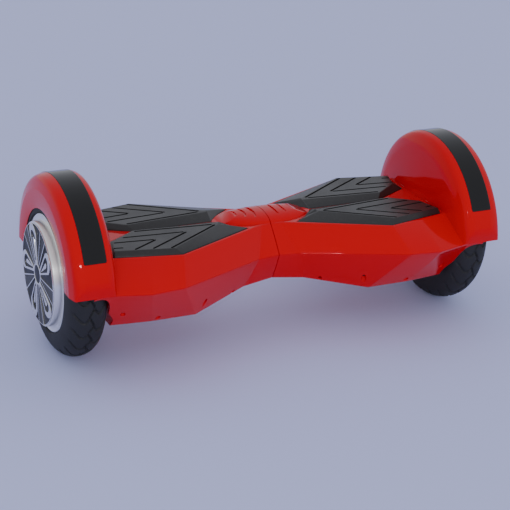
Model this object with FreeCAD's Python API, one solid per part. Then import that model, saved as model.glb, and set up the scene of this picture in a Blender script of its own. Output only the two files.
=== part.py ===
"""Self-balancing two-wheeled board: two twisting halves on a common pivot, a hub-motor wheel at each end.

Millimetres. +X runs along the wheel axis to the right-hand half, -Y is the front, +Z is up, and the
origin is on the floor at the middle of the board. Every right-hand piece is built at +X; its left-hand
twin is the mirror image in the seam plane X = 0.
"""

import FreeCAD, Part
import math
import os

Vector = FreeCAD.Vector

# ---- Driving dimensions -------------------------------------------------------------------------

# Wheels
wheel_radius = 100.0            # 8 inch tyre
tyre_width = 48.0
tyre_crown = 28.0               # from the tread down to the widest place of the section
tyre_wall = 7.0
tread_wall = 9.0
bead_radius = 62.0
bead_inset = 3.8                # side of the tyre to the side of its bead
wheel_mid = 247.0               # seam plane to the middle of the tyre

# Body outline, measured from the seam, the board's centre line and the wheel axle
seam_gap = 0.8
deck_rise = 36.0                # deck above the axle
belly_drop = 47.0               # underside below the axle
waist_drop = 31.5               # underside below the axle at the seam
neck_drop = 35.0                # and where the waist starts to swell
waist_deck_half = 27.5
waist_crease_half = 55.0
waist_belly_half = 37.0
neck_deck_x = 12.5
neck_deck_half = 28.8
neck_x = 27.0
neck_crease_half = 57.0
neck_belly_x = 40.0
neck_belly_half = 42.5
corner_deck_x = 134.0
corner_deck_half = 85.3
corner_crease_x = 144.0
corner_crease_half = 117.0
corner_belly_x = 113.0
corner_belly_half = 72.0
shoulder_setback = 29.0         # crease shoulder, inboard of the wheel arch
shoulder_crease_half = 119.5
end_crease_half = 107.3
end_deck_half = 65.5
end_belly_half = 66.0
seam_crease_rise = 5.5          # parting line above the axle
neck_crease_rise = 4.5
corner_crease_rise = 9.5
end_crease_rise = 8.5
skirt_reach = 1.0               # lower shell's toe, outboard of the tyre's middle
skirt_half = 110.5

# Shell walls
shell_wall = 2.5
slope_wall = 4.0                # wall of a sloping side, measured along Y
face_wall = 1.4
arch_gap = 7.5                  # tyre side to the arch wall
tyre_side_gap = 0.6
fender_gap = 12.3               # tread to the inside of the fender
well_gap = 8.0                  # tread to the lower shell's toe
band_wall = 3.2
fender_foot_setback = 6.0       # the fender's front foot leans in by this much
fender_fold_rise = 22.0
fender_cone_start = 50.0        # radius where the fender's inner side starts to lean outboard
fender_lean = 5.5
opening_radius = 75.0
pivot_hole_radius = 17.0
axle_hole_radius = 12.0

# Fender lens and its light strip
lens_half_width = 13.0
lens_offset = -2.0              # lens middle from the tyre's middle
lens_thickness = 1.6
lens_start = 24.6               # degrees above level
lens_clearance = 0.15
window_half_width = 5.0
strip_half_width = 8.0
strip_thickness = 1.0

# Foot pads
pad_rise = 6.0
pad_seat_depth = 2.5            # pad skirt below the deck
pad_travel = 2.0
pad_running_gap = 0.4
pad_floor = 2.5
pad_border = 2.4                # deck edge to the pad
stem_radius = 4.0
stem_length = 14.0
stem_x = 133.0
stem_y = 45.0

# Waist cover
cover_length = 62.0
cover_half_width = 27.5
cover_rise = 8.5
cover_crown = 7.5
cover_wall = 2.5
cover_nose_x = 37.0
vent_pitch = 11.5
vent_first_x = 13.5
vent_half_width = 1.3
vent_depth = 1.6
vent_count = 3
vent_half_length = 20.0
vent_shortening = 3.4           # from each vent to the next
cover_nose_drop = 1.5

# Twist pivot
tube_radius = 14.0
tube_bore = 10.0
tube_left_end = 60.0
tube_right_end = 66.0
bush_wall = 2.0
bush_length = 16.0
bush_running_gap = 0.05
boss_wall = 5.0
boss_start = 8.0
boss_end = 60.0
boss_shoulder = 4.0             # room round the tube for the circlip
twist_limit = 12.0              # degrees each way
stop_pin_radius = 3.0
stop_pin_x = 35.0
circlip_thickness = 1.2
circlip_groove = 1.2
harness_radius = 6.0

# Frame casting
plate_thickness = 5.0
plate_floor_gap = 1.0
plate_half_inner = 28.0
plate_half_outer = 60.0
plate_slope_x = 110.0
plate_inner_x = 36.0
plate_inner_rise = 10.0         # its inboard end above the shell's neck
plate_taper = 4.0
web_thickness = 12.0
web_start_x = 14.0
web_foot_x = 82.0
web_foot_rise = 10.0
axle_block_half = 22.0
axle_block_inner = 164.0
axle_block_outer = 206.0
clamp_height = 16.0
clamp_gap = 0.3
clamp_bolt_radius = 3.0
clamp_bolt_y = 15.0
clamp_bolt_inset = 9.0
clamp_bolt_reach = 24.0         # below the axle
clamp_bolt_head = 6.0
post_radius = 3.5
post_xs = (114.0, 152.0)
post_y = 56.0

# Axle and hub motor
axle_radius = 7.5
axle_flat = 6.0                 # half height across the axle's flats
axle_inner = 154.0
bearing_radius = 16.0
bearing_width = 9.0
bearing_running_gap = 0.05
hub_wall = 5.0
flange_radius = 69.0
flange_thickness = 2.3
barrel_radius = 61.0
barrel_length = 11.2            # flange's inner face to the hub's outer face
hub_plate = 4.0
trim_thickness = 1.8
trim_radius = 59.5
cover_plate = 3.6
bearing_seat_wall = 4.0
cover_screw_count = 8
cover_screw_radius = 1.5
stator_half_length = 11.0
stator_radius = 53.2
tooth_count = 18
magnet_count = 20
magnet_gap = 0.9
magnet_thickness = 2.8
coil_clearance = 0.15
spoke_count = 5
pocket_floor = 0.6              # trim left behind each pocket
pocket_wide_radius = 9.0
pocket_wide_at = 44.0           # from the axle
pocket_narrow_radius = 3.5
pocket_narrow_at = 20.0
tooth_half = 2.4
tooth_root = 30.0
tooth_tip = 51.0
shoe_inner = 49.5
slot_half = 1.2
core_radius = 32.0
core_window_radius = 7.0
core_window_at = 20.0
coil_root = 33.5
coil_tip = 49.0
coil_build = 2.5                # winding thickness on each side of a tooth

# Electrics
battery_wall = 1.6
cell_radius = 9.2
cell_length = 65.0
cell_pitch = 19.0
cells_per_layer = 5
battery_x = 86.0
board_thickness = 1.6
socket_bore = 6.0
socket_radius = 8.2
bezel_radius = 10.5
bezel_thickness = 1.2
button_radius = 6.0
button_proud = 1.4
dish_radius = 14.0
port_clearance = 0.2
port_wall_reach = 12.0
socket_depth = 13.0
button_depth = 11.0
contact_radius = 0.9
contact_ring = 2.6
cap_thickness = 1.8
cap_gap = 0.1
hinge_pin_radius = 0.8
knuckle_radius = 1.6
knuckle_half = 4.0
ear_outer = 6.6
ear_thickness = 2.0
hinge_rise = 1.3
hinge_offset = 13.2

# Shell screws
screw_radius = 1.9
front_screws = ((58.0, 50.0, 86.0), (104.0, 76.0, 84.0), (162.0, 78.0, 80.0), (207.0, 85.0, 84.0))
rear_screws = ((58.0, 50.0, 86.0), (140.0, 86.0, 84.0), (207.0, 85.0, 84.0))
screw_well_radius = 3.4
screw_boss_radius = 5.8
screw_head_height = 2.2
screw_clearance = 0.3
screw_rise = 14.0               # screw's tip above the parting line

# ---- Places worked out from them ----------------------------------------------------------------

axle_z = wheel_radius
deck_z = axle_z + deck_rise
belly_z = axle_z - belly_drop
waist_z = axle_z - waist_drop
neck_z = axle_z - neck_drop
end_crease_z = axle_z + end_crease_rise
half_gap = seam_gap / 2
tyre_inner = wheel_mid - tyre_width / 2
tyre_outer = wheel_mid + tyre_width / 2
arch_x = tyre_inner - arch_gap - shell_wall
face_inner = tyre_outer + tyre_side_gap
face_x = face_inner + face_wall
fender_inner_radius = wheel_radius + fender_gap
fender_radius = fender_inner_radius + band_wall
lens_x = wheel_mid + lens_offset
recess_depth = pad_seat_depth + pad_travel + 0.3
ceiling_z = deck_z - recess_depth - pad_floor
bead_half = tyre_width / 2 - bead_inset
flange_x = wheel_mid + bead_half
hub_face_x = flange_x + barrel_length
trim_x = hub_face_x + trim_thickness
cover_inner = wheel_mid - bead_half - cover_plate
bearing_inner_x = cover_inner - 3.0
bearing_outer_x = hub_face_x - hub_plate - bearing_width
drum_inner_radius = bead_radius - hub_wall
boss_radius = tube_radius + bush_wall + boss_wall
plate_z = belly_z + shell_wall + plate_floor_gap
plate_top = plate_z + plate_thickness
board_z = axle_z + 12.0
hinge_height = bezel_thickness + hinge_rise


# ---- Shape helpers ------------------------------------------------------------------------------

def rod_x(radius, start, end, y=0.0, z=axle_z):
    return Part.makeCylinder(radius, end - start, Vector(start, y, z), Vector(1, 0, 0))


def ring_x(outer, inner, start, end, y=0.0, z=axle_z):
    return rod_x(outer, start, end, y, z).cut(rod_x(inner, start - 1, end + 1, y, z))


def rod_z(radius, x, y, low, high):
    return Part.makeCylinder(radius, high - low, Vector(x, y, low), Vector(0, 0, 1))


def block(x0, x1, y0, y1, z0, z1):
    return Part.makeBox(x1 - x0, y1 - y0, z1 - z0, Vector(x0, y0, z0))


def joined(shapes):
    shape = shapes[0]
    for other in shapes[1:]:
        shape = shape.fuse(other)
    return shape.removeSplitter()


def without(shape, cutters):
    for cutter in cutters:
        shape = shape.cut(cutter)
    return shape


def left_of(shape):
    return shape.mirror(Vector(0, 0, 0), Vector(1, 0, 0))


def rear_of(shape):
    return shape.mirror(Vector(0, 0, 0), Vector(0, 1, 0))


def front_and_rear(shape):
    return [shape, rear_of(shape)]


def flat_face(corners):
    return Part.Face(Part.makePolygon(corners + corners[:1]))


def prism(outline, low, high):
    """An (x, y) outline raised from low to high."""
    return flat_face([Vector(x, y, low) for x, y in outline]).extrude(Vector(0, 0, high - low))


def prism_x(outline, start, end):
    """A (y, z) outline drawn out along X."""
    return flat_face([Vector(start, y, z) for y, z in outline]).extrude(Vector(end - start, 0, 0))


def prism_y(outline, half):
    """An (x, z) outline drawn out to both sides of the board's centre line."""
    return flat_face([Vector(x, -half, z) for x, z in outline]).extrude(Vector(0, 2 * half, 0))


def turned(edges, start=0.0, sweep=360.0):
    """Edges of a closed (x, radius) profile turned about the axle, from front-level up over the top."""
    face = Part.Face(Part.Wire(edges))
    centre = Vector(0, 0, axle_z)
    face.rotate(centre, Vector(-1, 0, 0), start)
    return face.revolve(centre, Vector(-1, 0, 0), sweep)


def spot(x, radius):
    return Vector(x, -radius, axle_z)


def line_edges(points):
    return [Part.makeLine(spot(*a), spot(*b)) for a, b in zip(points, points[1:])]


def arc_edge(start, middle, end):
    return Part.Arc(spot(*start), spot(*middle), spot(*end)).toShape()


def turned_box(x0, x1, inner, outer, start=0.0, sweep=360.0):
    corners = [(x0, inner), (x1, inner), (x1, outer), (x0, outer), (x0, inner)]
    return turned(line_edges(corners), start, sweep)


def flat_faces(corners):
    """One face through four corners, or the two triangles across their shorter diagonal."""
    a, b, c, d = corners
    normal = (b - a).cross(c - a)
    if normal.Length > 1e-6 and abs((d - a).dot(normal)) / normal.Length < 1e-4:
        return [flat_face([a, b, c, d])]
    if (a - c).Length < (b - d).Length:
        triangles = [(a, b, c), (a, c, d)]
    else:
        triangles = [(a, b, d), (b, c, d)]
    return [flat_face(list(triangle)) for triangle in triangles]


def skinned(rings):
    """A solid through a row of rings with equal numbers of corners, closed by flat ends."""
    faces = []
    for near, far in zip(rings, rings[1:]):
        count = len(near)
        for i in range(count):
            j = (i + 1) % count
            faces += flat_faces([near[i], near[j], far[j], far[i]])
    for end in (rings[0], rings[-1]):
        faces.append(flat_face(end))
    solid = Part.makeSolid(Part.makeShell(faces))
    if solid.Volume < 0:
        solid.reverse()
    return solid


# ---- Body outline -------------------------------------------------------------------------------

def between(a, b, t):
    return tuple(p + (q - p) * t for p, q in zip(a, b))


shoulder_x = arch_x - shoulder_setback
deck_end_x = arch_x + 19.0
crease_end_x = arch_x + 17.0
belly_end_x = arch_x + 9.0
toe_x = wheel_mid + skirt_reach

deck_line = [
    (half_gap, waist_deck_half, deck_z),
    (neck_deck_x, neck_deck_half, deck_z),
    (corner_deck_x, corner_deck_half, deck_z),
    (deck_end_x, end_deck_half, deck_z),
]
crease_line = [
    (half_gap, waist_crease_half, axle_z + seam_crease_rise),
    (neck_x, neck_crease_half, axle_z + neck_crease_rise),
    (corner_crease_x, corner_crease_half, axle_z + corner_crease_rise),
    (shoulder_x, shoulder_crease_half, end_crease_z),
    (crease_end_x, end_crease_half, end_crease_z),
    (toe_x, skirt_half, end_crease_z),
]
belly_line = [
    (half_gap, waist_belly_half, waist_z),
    (neck_belly_x, neck_belly_half, neck_z),
    (corner_belly_x, corner_belly_half, belly_z),
    (shoulder_x - 16.0, corner_belly_half, belly_z),
    (belly_end_x, end_belly_half, belly_z),
    (toe_x, end_belly_half - 6.0, belly_z),
]


def along(line, x):
    """The point of an outline at x."""
    for a, b in zip(line, line[1:]):
        if x <= b[0]:
            return between(a, b, (x - a[0]) / (b[0] - a[0]))
    return line[-1]


shoulder_deck = along(deck_line, shoulder_x - 9.0)
deck_corners = deck_line[:3] + [shoulder_deck] + deck_line[3:]


def ring_of(half):
    """A closed ring from the corners of its front half, front to rear."""
    front = [Vector(x, -y, z) for x, y, z in half]
    rear = [Vector(x, y, z) for x, y, z in reversed(half)]
    return front + rear


def at_height(low, high, z):
    return between(low, high, (z - low[2]) / (high[2] - low[2]))


def inset(point, amount):
    return (point[0], point[1] - amount, point[2])


def shifted(point, x=None, dz=0.0):
    return (point[0] if x is None else x, point[1], point[2] + dz)


def deck_block():
    """Everything the upper shell encloses between the deck and the parting line."""
    rings = [ring_of([d, c]) for d, c in zip(deck_corners, crease_line)]
    return skinned(rings)


def belly_block():
    """Everything the lower shell encloses between the parting line and the underside."""
    rings = [ring_of([c, b]) for c, b in zip(crease_line, belly_line)]
    return skinned(rings)


def cavity_stations(upper):
    """Corners of the cavity's half rings, from the seam's end wall to the wheel arch wall."""
    start = half_gap + shell_wall
    edges = deck_corners if upper else belly_line
    stations = list(zip(edges[:4], crease_line[:4]))
    stations.append((along(deck_line if upper else belly_line, arch_x), along(crease_line, arch_x)))
    overrun = -8.0 if upper else 8.0
    halves = []
    for i, (edge, crease) in enumerate(stations):
        level = ceiling_z if upper else edge[2] + shell_wall
        edge_point = inset(at_height(edge, crease, level), slope_wall)
        crease_point = inset(crease, slope_wall)
        if i == 0:
            edge_point = shifted(edge_point, start)
            crease_point = shifted(crease_point, start)
        if i == len(stations) - 1:
            edge_point = shifted(edge_point, arch_x)
            crease_point = shifted(crease_point, arch_x)
        halves.append([edge_point, crease_point, shifted(crease_point, None, overrun)])
    return halves


def cavity(upper):
    return skinned([ring_of(half) for half in cavity_stations(upper)])


# ---- Wheel arches -------------------------------------------------------------------------------

def fender_edges(wall):
    """Profile of the fender, or with a wall, of the space inside it."""
    side = arch_x + (shell_wall if wall else 0.0)
    crown = fender_radius - (band_wall if wall else 0.0)
    face = face_inner if wall else face_x
    shrink = shell_wall if wall else 0.0
    lean_start = (side, fender_cone_start)
    inner_foot = (side + fender_lean, fender_radius - 18.5 - shrink)
    inner_top = (arch_x + 19.0 + shrink / 2, crown)
    inner_middle = (arch_x + 10.2 + shrink, fender_radius - 8.0 - shrink)
    outer_top = (face_x - 15.6 - shrink / 2, crown)
    outer_foot = (face, fender_radius - 18.5 - shrink)
    outer_middle = (face_x - 5.6 - shrink, fender_radius - 5.6 - shrink)
    return [
        *line_edges([(face, 0), (side, 0), lean_start, inner_foot]),
        arc_edge(inner_foot, inner_middle, inner_top),
        *line_edges([inner_top, outer_top]),
        arc_edge(outer_top, outer_middle, outer_foot),
        *line_edges([outer_foot, (face, 0)]),
    ]


def fender_foot_cut(wall):
    """The wedge taken off the fender's front foot, where it leans in below the fold."""
    fold_z = axle_z + fender_fold_rise
    fold_y = math.sqrt(fender_radius ** 2 - fender_fold_rise ** 2) - wall
    foot_y = fender_radius - fender_foot_setback - wall
    drop = fold_z - end_crease_z
    low_y = foot_y - (fold_y - foot_y) * 2 / drop
    far = fender_radius + 20
    outline = [(-fold_y, fold_z), (-low_y, end_crease_z - 2), (-far, end_crease_z - 2), (-far, fold_z)]
    return prism_x(outline, arch_x - 5, face_x + 5)


def fender_block(wall):
    shape = turned(fender_edges(wall))
    below = block(arch_x - 5, face_x + 5, -300, 300, -300, end_crease_z - (1 if wall else 0))
    shape = shape.cut(below)
    return without(shape, front_and_rear(fender_foot_cut(shell_wall if wall else 0.0)))


def tyre_well():
    """The clearance that the lower shell leaves round the tyre."""
    side = arch_x + shell_wall
    shoulder = (tyre_inner + 1.0, wheel_radius - 12.0)
    middle = (wheel_mid - 10.0, wheel_radius + 0.8)
    crown = (wheel_mid, wheel_radius + well_gap)
    far = face_x + 30.0
    edges = [
        *line_edges([(far, 0), (side, 0), (side, shoulder[1] - 4), shoulder]),
        arc_edge(shoulder, middle, crown),
        *line_edges([crown, (far, crown[1]), (far, 0)]),
    ]
    return turned(edges)


# ---- Fender lens and light strip ----------------------------------------------------------------

lens_sweep = 180.0 - 2 * lens_start


def lens_band(half_width, inner, outer, margin=0.0):
    start = lens_start - margin
    sweep = lens_sweep + 2 * margin
    return turned_box(lens_x - half_width, lens_x + half_width, inner, outer, start, sweep)


def fender_lens():
    return lens_band(lens_half_width, fender_radius - lens_thickness, fender_radius)


def light_strip():
    outer = fender_inner_radius - 0.1
    return lens_band(strip_half_width, outer - strip_thickness, outer, -3.0)


def lens_seat():
    half = lens_half_width + lens_clearance
    margin = math.degrees(lens_clearance / fender_radius)
    return lens_band(half, fender_radius - lens_thickness - 0.05, fender_radius + 2, margin)


def lens_window():
    return lens_band(window_half_width, fender_inner_radius - 3, fender_radius, -4.0)


# ---- Foot pads ----------------------------------------------------------------------------------

pad_end_x = arch_x - 2.4
pad_gap_half = 1.2
pad_base_line = [
    (32.0, 33.4),
    (corner_deck_x + 0.5, corner_deck_half - pad_border),
    (pad_end_x, 67.0),
    (pad_end_x, 28.0),
    (pad_end_x - 48.6, pad_gap_half),
    (65.5, pad_gap_half),
    (58.5, 13.0),
    (47.0, 22.0),
]
pad_top_line = [
    (66.0, 24.0),
    (corner_crease_x - 2.5, 77.0),
    (pad_end_x - 1.5, 63.0),
    (pad_end_x - 11.0, 33.0),
    (pad_end_x - 42.0, 9.5),
    (64.0, 18.6),
    (64.4, 20.0),
    (65.0, 21.6),
]


def grown(outline, gap):
    """An outline moved outwards by a gap."""
    corners = [Vector(x, -y, 0) for x, y in outline]
    wire = Part.makePolygon(corners + corners[:1])
    moved = wire.makeOffset2D(gap, 2)
    return Part.Face(moved)


def pad_recess():
    face = grown(pad_base_line, pad_running_gap)
    face.translate(Vector(0, 0, deck_z - recess_depth))
    return face.extrude(Vector(0, 0, recess_depth + 10))


def foot_pad():
    """A front foot pad: a bevelled rubber slab with a skirt in the deck and one stem below."""
    base = [Vector(x, -y, deck_z) for x, y in pad_base_line]
    top = [Vector(x, -y, deck_z + pad_rise) for x, y in pad_top_line]
    slab = skinned([base, top])
    skirt = prism([(x, -y) for x, y in pad_base_line], deck_z - pad_seat_depth, deck_z)
    stem_top = deck_z - pad_seat_depth + 1
    stem = rod_z(stem_radius, stem_x, -stem_y, stem_top - 1 - stem_length, stem_top)
    return joined([slab, skirt, stem])


def stem_hole():
    return rod_z(stem_radius + pad_running_gap, stem_x, -stem_y, ceiling_z - 20, deck_z)


# ---- Shells -------------------------------------------------------------------------------------

def screw_places():
    """The (x, y, z) of each screw's head seat, those at the front with negative y."""
    return [(x, -y, z) for x, y, z in front_screws] + list(rear_screws)


def parting_z(x):
    return along(crease_line, x)[2]


def upper_shell():
    """Deck, slopes and fender in one moulding, with the pad recesses, screw bosses and lens window."""
    body = deck_block()
    shell = joined([body, fender_block(False)])
    shell = without(shell, [cavity(True), fender_block(True)])
    shell = shell.cut(rod_x(opening_radius, face_inner - 1, face_x + 5))
    bosses = []
    for x, y, seat in screw_places():
        boss = rod_z(screw_boss_radius - 1, x, y, parting_z(x) + 0.2, deck_z - 1)
        bosses.append(boss.common(body))
    shell = joined([shell] + bosses)
    cutters = [lens_seat(), lens_window()]
    cutters += front_and_rear(pad_recess())
    cutters += front_and_rear(stem_hole())
    for x, y, seat in screw_places():
        cutters.append(rod_z(screw_radius, x, y, parting_z(x) - 5, parting_z(x) + screw_rise + 1))
    cutters.append(rod_x(pivot_hole_radius, -1, half_gap + shell_wall + 1))
    cutters.append(rod_x(axle_hole_radius, arch_x - 1, arch_x + shell_wall + 1))
    return without(shell, cutters)


def lower_shell():
    """The underside tub: seam wall, sloping sides, arch wall and the screw wells."""
    body = belly_block()
    shell = without(body, [cavity(False), tyre_well()])
    pillars = []
    for x, y, seat in screw_places():
        pillar = rod_z(screw_boss_radius, x, y, belly_z, parting_z(x) + 5)
        pillars.append(pillar.common(body))
    shell = joined([shell] + pillars)
    cutters = []
    for x, y, seat in screw_places():
        cutters.append(rod_z(screw_well_radius, x, y, 0, seat))
        cutters.append(rod_z(screw_radius + screw_clearance, x, y, seat - 1, deck_z))
    cutters.append(rod_x(pivot_hole_radius, -1, half_gap + shell_wall + 1))
    cutters.append(rod_x(axle_hole_radius, arch_x - 1, arch_x + shell_wall + 1))
    return without(shell, cutters)


def shell_screws():
    """Self-tapping screws that pull the lower shell up to the upper shell."""
    screws = []
    for x, y, seat in screw_places():
        head = rod_z(screw_well_radius - 0.5, x, y, seat - screw_head_height, seat)
        shank = rod_z(screw_radius, x, y, seat - 0.5, parting_z(x) + screw_rise)
        drive = rod_z(screw_radius - 0.5, x, y, seat - 3, seat - 1)
        screws.append(joined([head, shank]).cut(drive))
    return Part.makeCompound(screws)


# ---- Waist cover --------------------------------------------------------------------------------

def cover_dome(wall):
    """The boat-shaped dome of the waist cover, shrunk by a wall."""
    crown_z = deck_z + cover_rise - wall
    radius = (cover_half_width ** 2 + cover_crown ** 2) / (2 * cover_crown) - wall
    start = half_gap + wall
    ellipse = Part.Ellipse(Vector(0, 0, deck_z), cover_length - wall, cover_half_width - wall)
    face = Part.Face(Part.Wire([ellipse.toShape()]))
    plan = face.extrude(Vector(0, 0, cover_rise + 5))
    barrel = rod_x(radius, start, cover_length, 0.0, crown_z - radius)
    nose = [
        (cover_nose_x, crown_z - cover_nose_drop),
        (cover_length + 5, deck_z + 0.3 - wall),
        (cover_length + 5, crown_z + 10),
        (cover_nose_x, crown_z + 10),
    ]
    return plan.common(barrel).cut(prism_y(nose, 2 * cover_half_width))


def waist_cover():
    """Ribbed cap over the waist, with three curved vent slots."""
    shell = cover_dome(0.0).cut(cover_dome(cover_wall))
    core = cover_dome(vent_depth)
    for i in range(vent_count):
        x = vent_first_x + i * vent_pitch
        half_length = vent_half_length - vent_shortening * i
        slot = block(x - vent_half_width, x + vent_half_width, -half_length, half_length,
                     deck_z, deck_z + cover_rise + 2)
        shell = shell.cut(slot.cut(core))
    return shell


# ---- Twist pivot --------------------------------------------------------------------------------

def twist_slot():
    """The arc-shaped window in the pivot tube that the stop pin runs in."""
    reach = math.degrees(math.asin((stop_pin_radius + 0.3) / tube_bore)) + twist_limit + 1.0
    half = stop_pin_radius + 0.3
    return turned_box(stop_pin_x - half, stop_pin_x + half, tube_bore - 2, tube_radius + 2,
                      90.0 - reach, 2 * reach)


def pivot_tube():
    """Steel tube fixed in the left frame; the right frame turns on it."""
    tube = ring_x(tube_radius, tube_bore, -tube_left_end, tube_right_end)
    groove_x = boss_end + 1.5
    groove = ring_x(tube_radius + 1, tube_radius - circlip_groove, groove_x, groove_x + circlip_thickness + 0.2)
    return without(tube, [groove, twist_slot()])


def pivot_bushes():
    outer = tube_radius + bush_wall
    inner = tube_radius + bush_running_gap
    bushes = [
        ring_x(outer, inner, boss_start, boss_start + bush_length),
        ring_x(outer, inner, boss_end - bush_length, boss_end),
    ]
    return Part.makeCompound(bushes)


def pivot_circlip():
    start = boss_end + 1.6
    ring = ring_x(tube_radius + 3.0, tube_radius - circlip_groove, start, start + circlip_thickness)
    mouth = block(start - 1, start + 3, -4, 4, axle_z - 20, axle_z - 6)
    return ring.cut(mouth)


def stop_pin():
    low = axle_z + tube_bore + 0.5
    shank = rod_z(stop_pin_radius, stop_pin_x, 0, low, axle_z + boss_radius + 0.4)
    head = rod_z(stop_pin_radius + 2, stop_pin_x, 0, axle_z + boss_radius + 0.4, axle_z + boss_radius + 3)
    return joined([shank, head])


def pivot_harness():
    """The cable bundle through the pivot tube, joining the two halves' electrics."""
    return rod_x(harness_radius, -tube_left_end - 8, tube_right_end + 8)


# ---- Frame casting ------------------------------------------------------------------------------

def floor_plate():
    """The casting's plate: sloping down from the boss, then flat under the axle block."""
    inner_z = neck_z + plate_inner_rise
    side = [
        (plate_inner_x, inner_z),
        (plate_slope_x, plate_z),
        (axle_block_outer, plate_z),
        (axle_block_outer, plate_top),
        (plate_slope_x + 2, plate_top),
        (plate_inner_x, inner_z + plate_thickness),
    ]
    plan = [
        (plate_inner_x, plate_half_inner),
        (plate_slope_x, plate_half_outer),
        (axle_block_outer, plate_half_outer - plate_taper),
    ]
    outline = [(x, -y) for x, y in plan] + [(x, y) for x, y in reversed(plan)]
    return prism_y(side, 2 * plate_half_outer).common(prism(outline, 0, deck_z))


def boss_web():
    """The upright web that ties the pivot boss to the floor plate."""
    inner_z = neck_z + plate_inner_rise
    side = [
        (web_start_x, axle_z),
        (web_start_x, inner_z + 2),
        (plate_inner_x + 4, inner_z + 1),
        (web_foot_x, plate_z + web_foot_rise),
        (web_foot_x, plate_z + web_foot_rise + 4),
        (boss_end - 2, axle_z),
    ]
    return prism_y(side, web_thickness / 2)


def frame(bore):
    """Aluminium casting: pivot boss, web, floor plate, axle block and the sensor board's posts."""
    boss = rod_x(boss_radius, boss_start, boss_end)
    seat = block(axle_block_inner, axle_block_outer, -axle_block_half, axle_block_half, plate_z + 1, axle_z)
    posts = []
    for x in post_xs:
        posts += front_and_rear(rod_z(post_radius, x, -post_y, plate_top - 1, board_z - 0.1))
    casting = joined([floor_plate(), boss_web(), boss, seat] + posts)
    cutters = [rod_x(bore, boss_start - 1, boss_end + 1), axle_bar()]
    cutters.append(rod_x(tube_radius + boss_shoulder, boss_end, web_foot_x + 3))
    for x, y in clamp_bolt_spots():
        cutters.append(rod_z(clamp_bolt_radius, x, y, axle_z - clamp_bolt_reach - 2, axle_z + 1))
    return without(casting, cutters)


def right_frame():
    """The right casting, bored for the pivot bushes and drilled for the stop pin."""
    pin_hole = rod_z(stop_pin_radius, stop_pin_x, 0, axle_z + tube_radius - 1, axle_z + boss_radius + 5)
    return frame(tube_radius + bush_wall).cut(pin_hole)


def clamp_bolt_spots():
    inner = axle_block_inner + clamp_bolt_inset
    outer = axle_block_outer - clamp_bolt_inset
    return [(x, y) for x in (inner, outer) for y in (-clamp_bolt_y, clamp_bolt_y)]


def axle_clamp():
    """The cap that holds the axle down in the frame's block."""
    cap = block(axle_block_inner, axle_block_outer, -axle_block_half, axle_block_half,
                axle_z + clamp_gap, axle_z + clamp_height)
    cutters = [axle_bar()]
    for x, y in clamp_bolt_spots():
        cutters.append(rod_z(clamp_bolt_radius + clamp_gap, x, y, axle_z - 1, axle_z + clamp_height + 1))
    return without(cap, cutters)


def clamp_bolts():
    bolts = []
    for x, y in clamp_bolt_spots():
        top = axle_z + clamp_height
        shank = rod_z(clamp_bolt_radius, x, y, axle_z - clamp_bolt_reach, top + 0.1)
        head = rod_z(clamp_bolt_radius + 2, x, y, top, top + clamp_bolt_head)
        socket = rod_z(clamp_bolt_radius - 0.5, x, y, top + clamp_bolt_head / 2, top + clamp_bolt_head + 1)
        bolts.append(joined([shank, head]).cut(socket))
    return Part.makeCompound(bolts)


# ---- Hub motor wheel ----------------------------------------------------------------------------

def axle_bar():
    """The axle's clamped length, flattened top and bottom so that it can't turn."""
    bar = rod_x(axle_radius, axle_inner, arch_x + 2)
    flats = block(axle_inner - 1, arch_x + 3, -50, 50, axle_z - axle_flat, axle_z + axle_flat)
    return bar.common(flats)


def axle():
    start = arch_x + 1
    end = hub_face_x - hub_plate - 0.8
    return joined([axle_bar(), rod_x(axle_radius, start, end)])


def wheel_bearings():
    bearings = []
    for start in (bearing_inner_x, bearing_outer_x):
        ring = ring_x(bearing_radius, axle_radius + bearing_running_gap, start, start + bearing_width)
        for face in (start - 0.1, start + bearing_width - 0.5):
            ring = ring.cut(ring_x(bearing_radius - 2.6, axle_radius + 2.4, face, face + 0.6))
        bearings.append(ring)
    return Part.makeCompound(bearings)


def hub():
    """Cast aluminium rim: drum, outboard flange, polished barrel and closed outer face."""
    drum = ring_x(bead_radius, drum_inner_radius, cover_inner + cover_plate, flange_x + 1)
    flange = ring_x(flange_radius, drum_inner_radius, flange_x, flange_x + flange_thickness)
    barrel = ring_x(barrel_radius, drum_inner_radius - 3, flange_x, hub_face_x)
    plate = rod_x(barrel_radius - 1, hub_face_x - hub_plate, hub_face_x)
    seat_radius = bearing_radius + bearing_seat_wall
    seat = ring_x(seat_radius, bearing_radius, bearing_outer_x, hub_face_x - hub_plate + 1)
    return joined([drum, flange, barrel, plate, seat])


def cover_screw_spots():
    radius = bead_radius - hub_wall / 2
    turns = [2 * math.pi * i / cover_screw_count for i in range(cover_screw_count)]
    return [(radius * math.cos(turn), axle_z + radius * math.sin(turn)) for turn in turns]


def hub_cover():
    """Inboard cover plate that carries the inner bearing and holds the tyre's bead."""
    plate = ring_x(flange_radius, bearing_radius, cover_inner, cover_inner + cover_plate)
    seat_radius = bearing_radius + bearing_seat_wall
    boss = ring_x(seat_radius, bearing_radius, bearing_inner_x, bearing_inner_x + bearing_width)
    cover = joined([plate, boss])
    for y, z in cover_screw_spots():
        cover = cover.cut(rod_x(cover_screw_radius + 0.2, cover_inner - 1, cover_inner + cover_plate + 1, y, z))
    return cover


def cover_screws():
    screws = []
    for y, z in cover_screw_spots():
        head = rod_x(cover_screw_radius + 1.2, cover_inner - 2, cover_inner, y, z)
        shank = rod_x(cover_screw_radius, cover_inner - 0.5, cover_inner + cover_plate + 8, y, z)
        drive = rod_x(1.0, cover_inner - 3, cover_inner - 1, y, z)
        screws.append(joined([head, shank]).cut(drive))
    return Part.makeCompound(screws)


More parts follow.
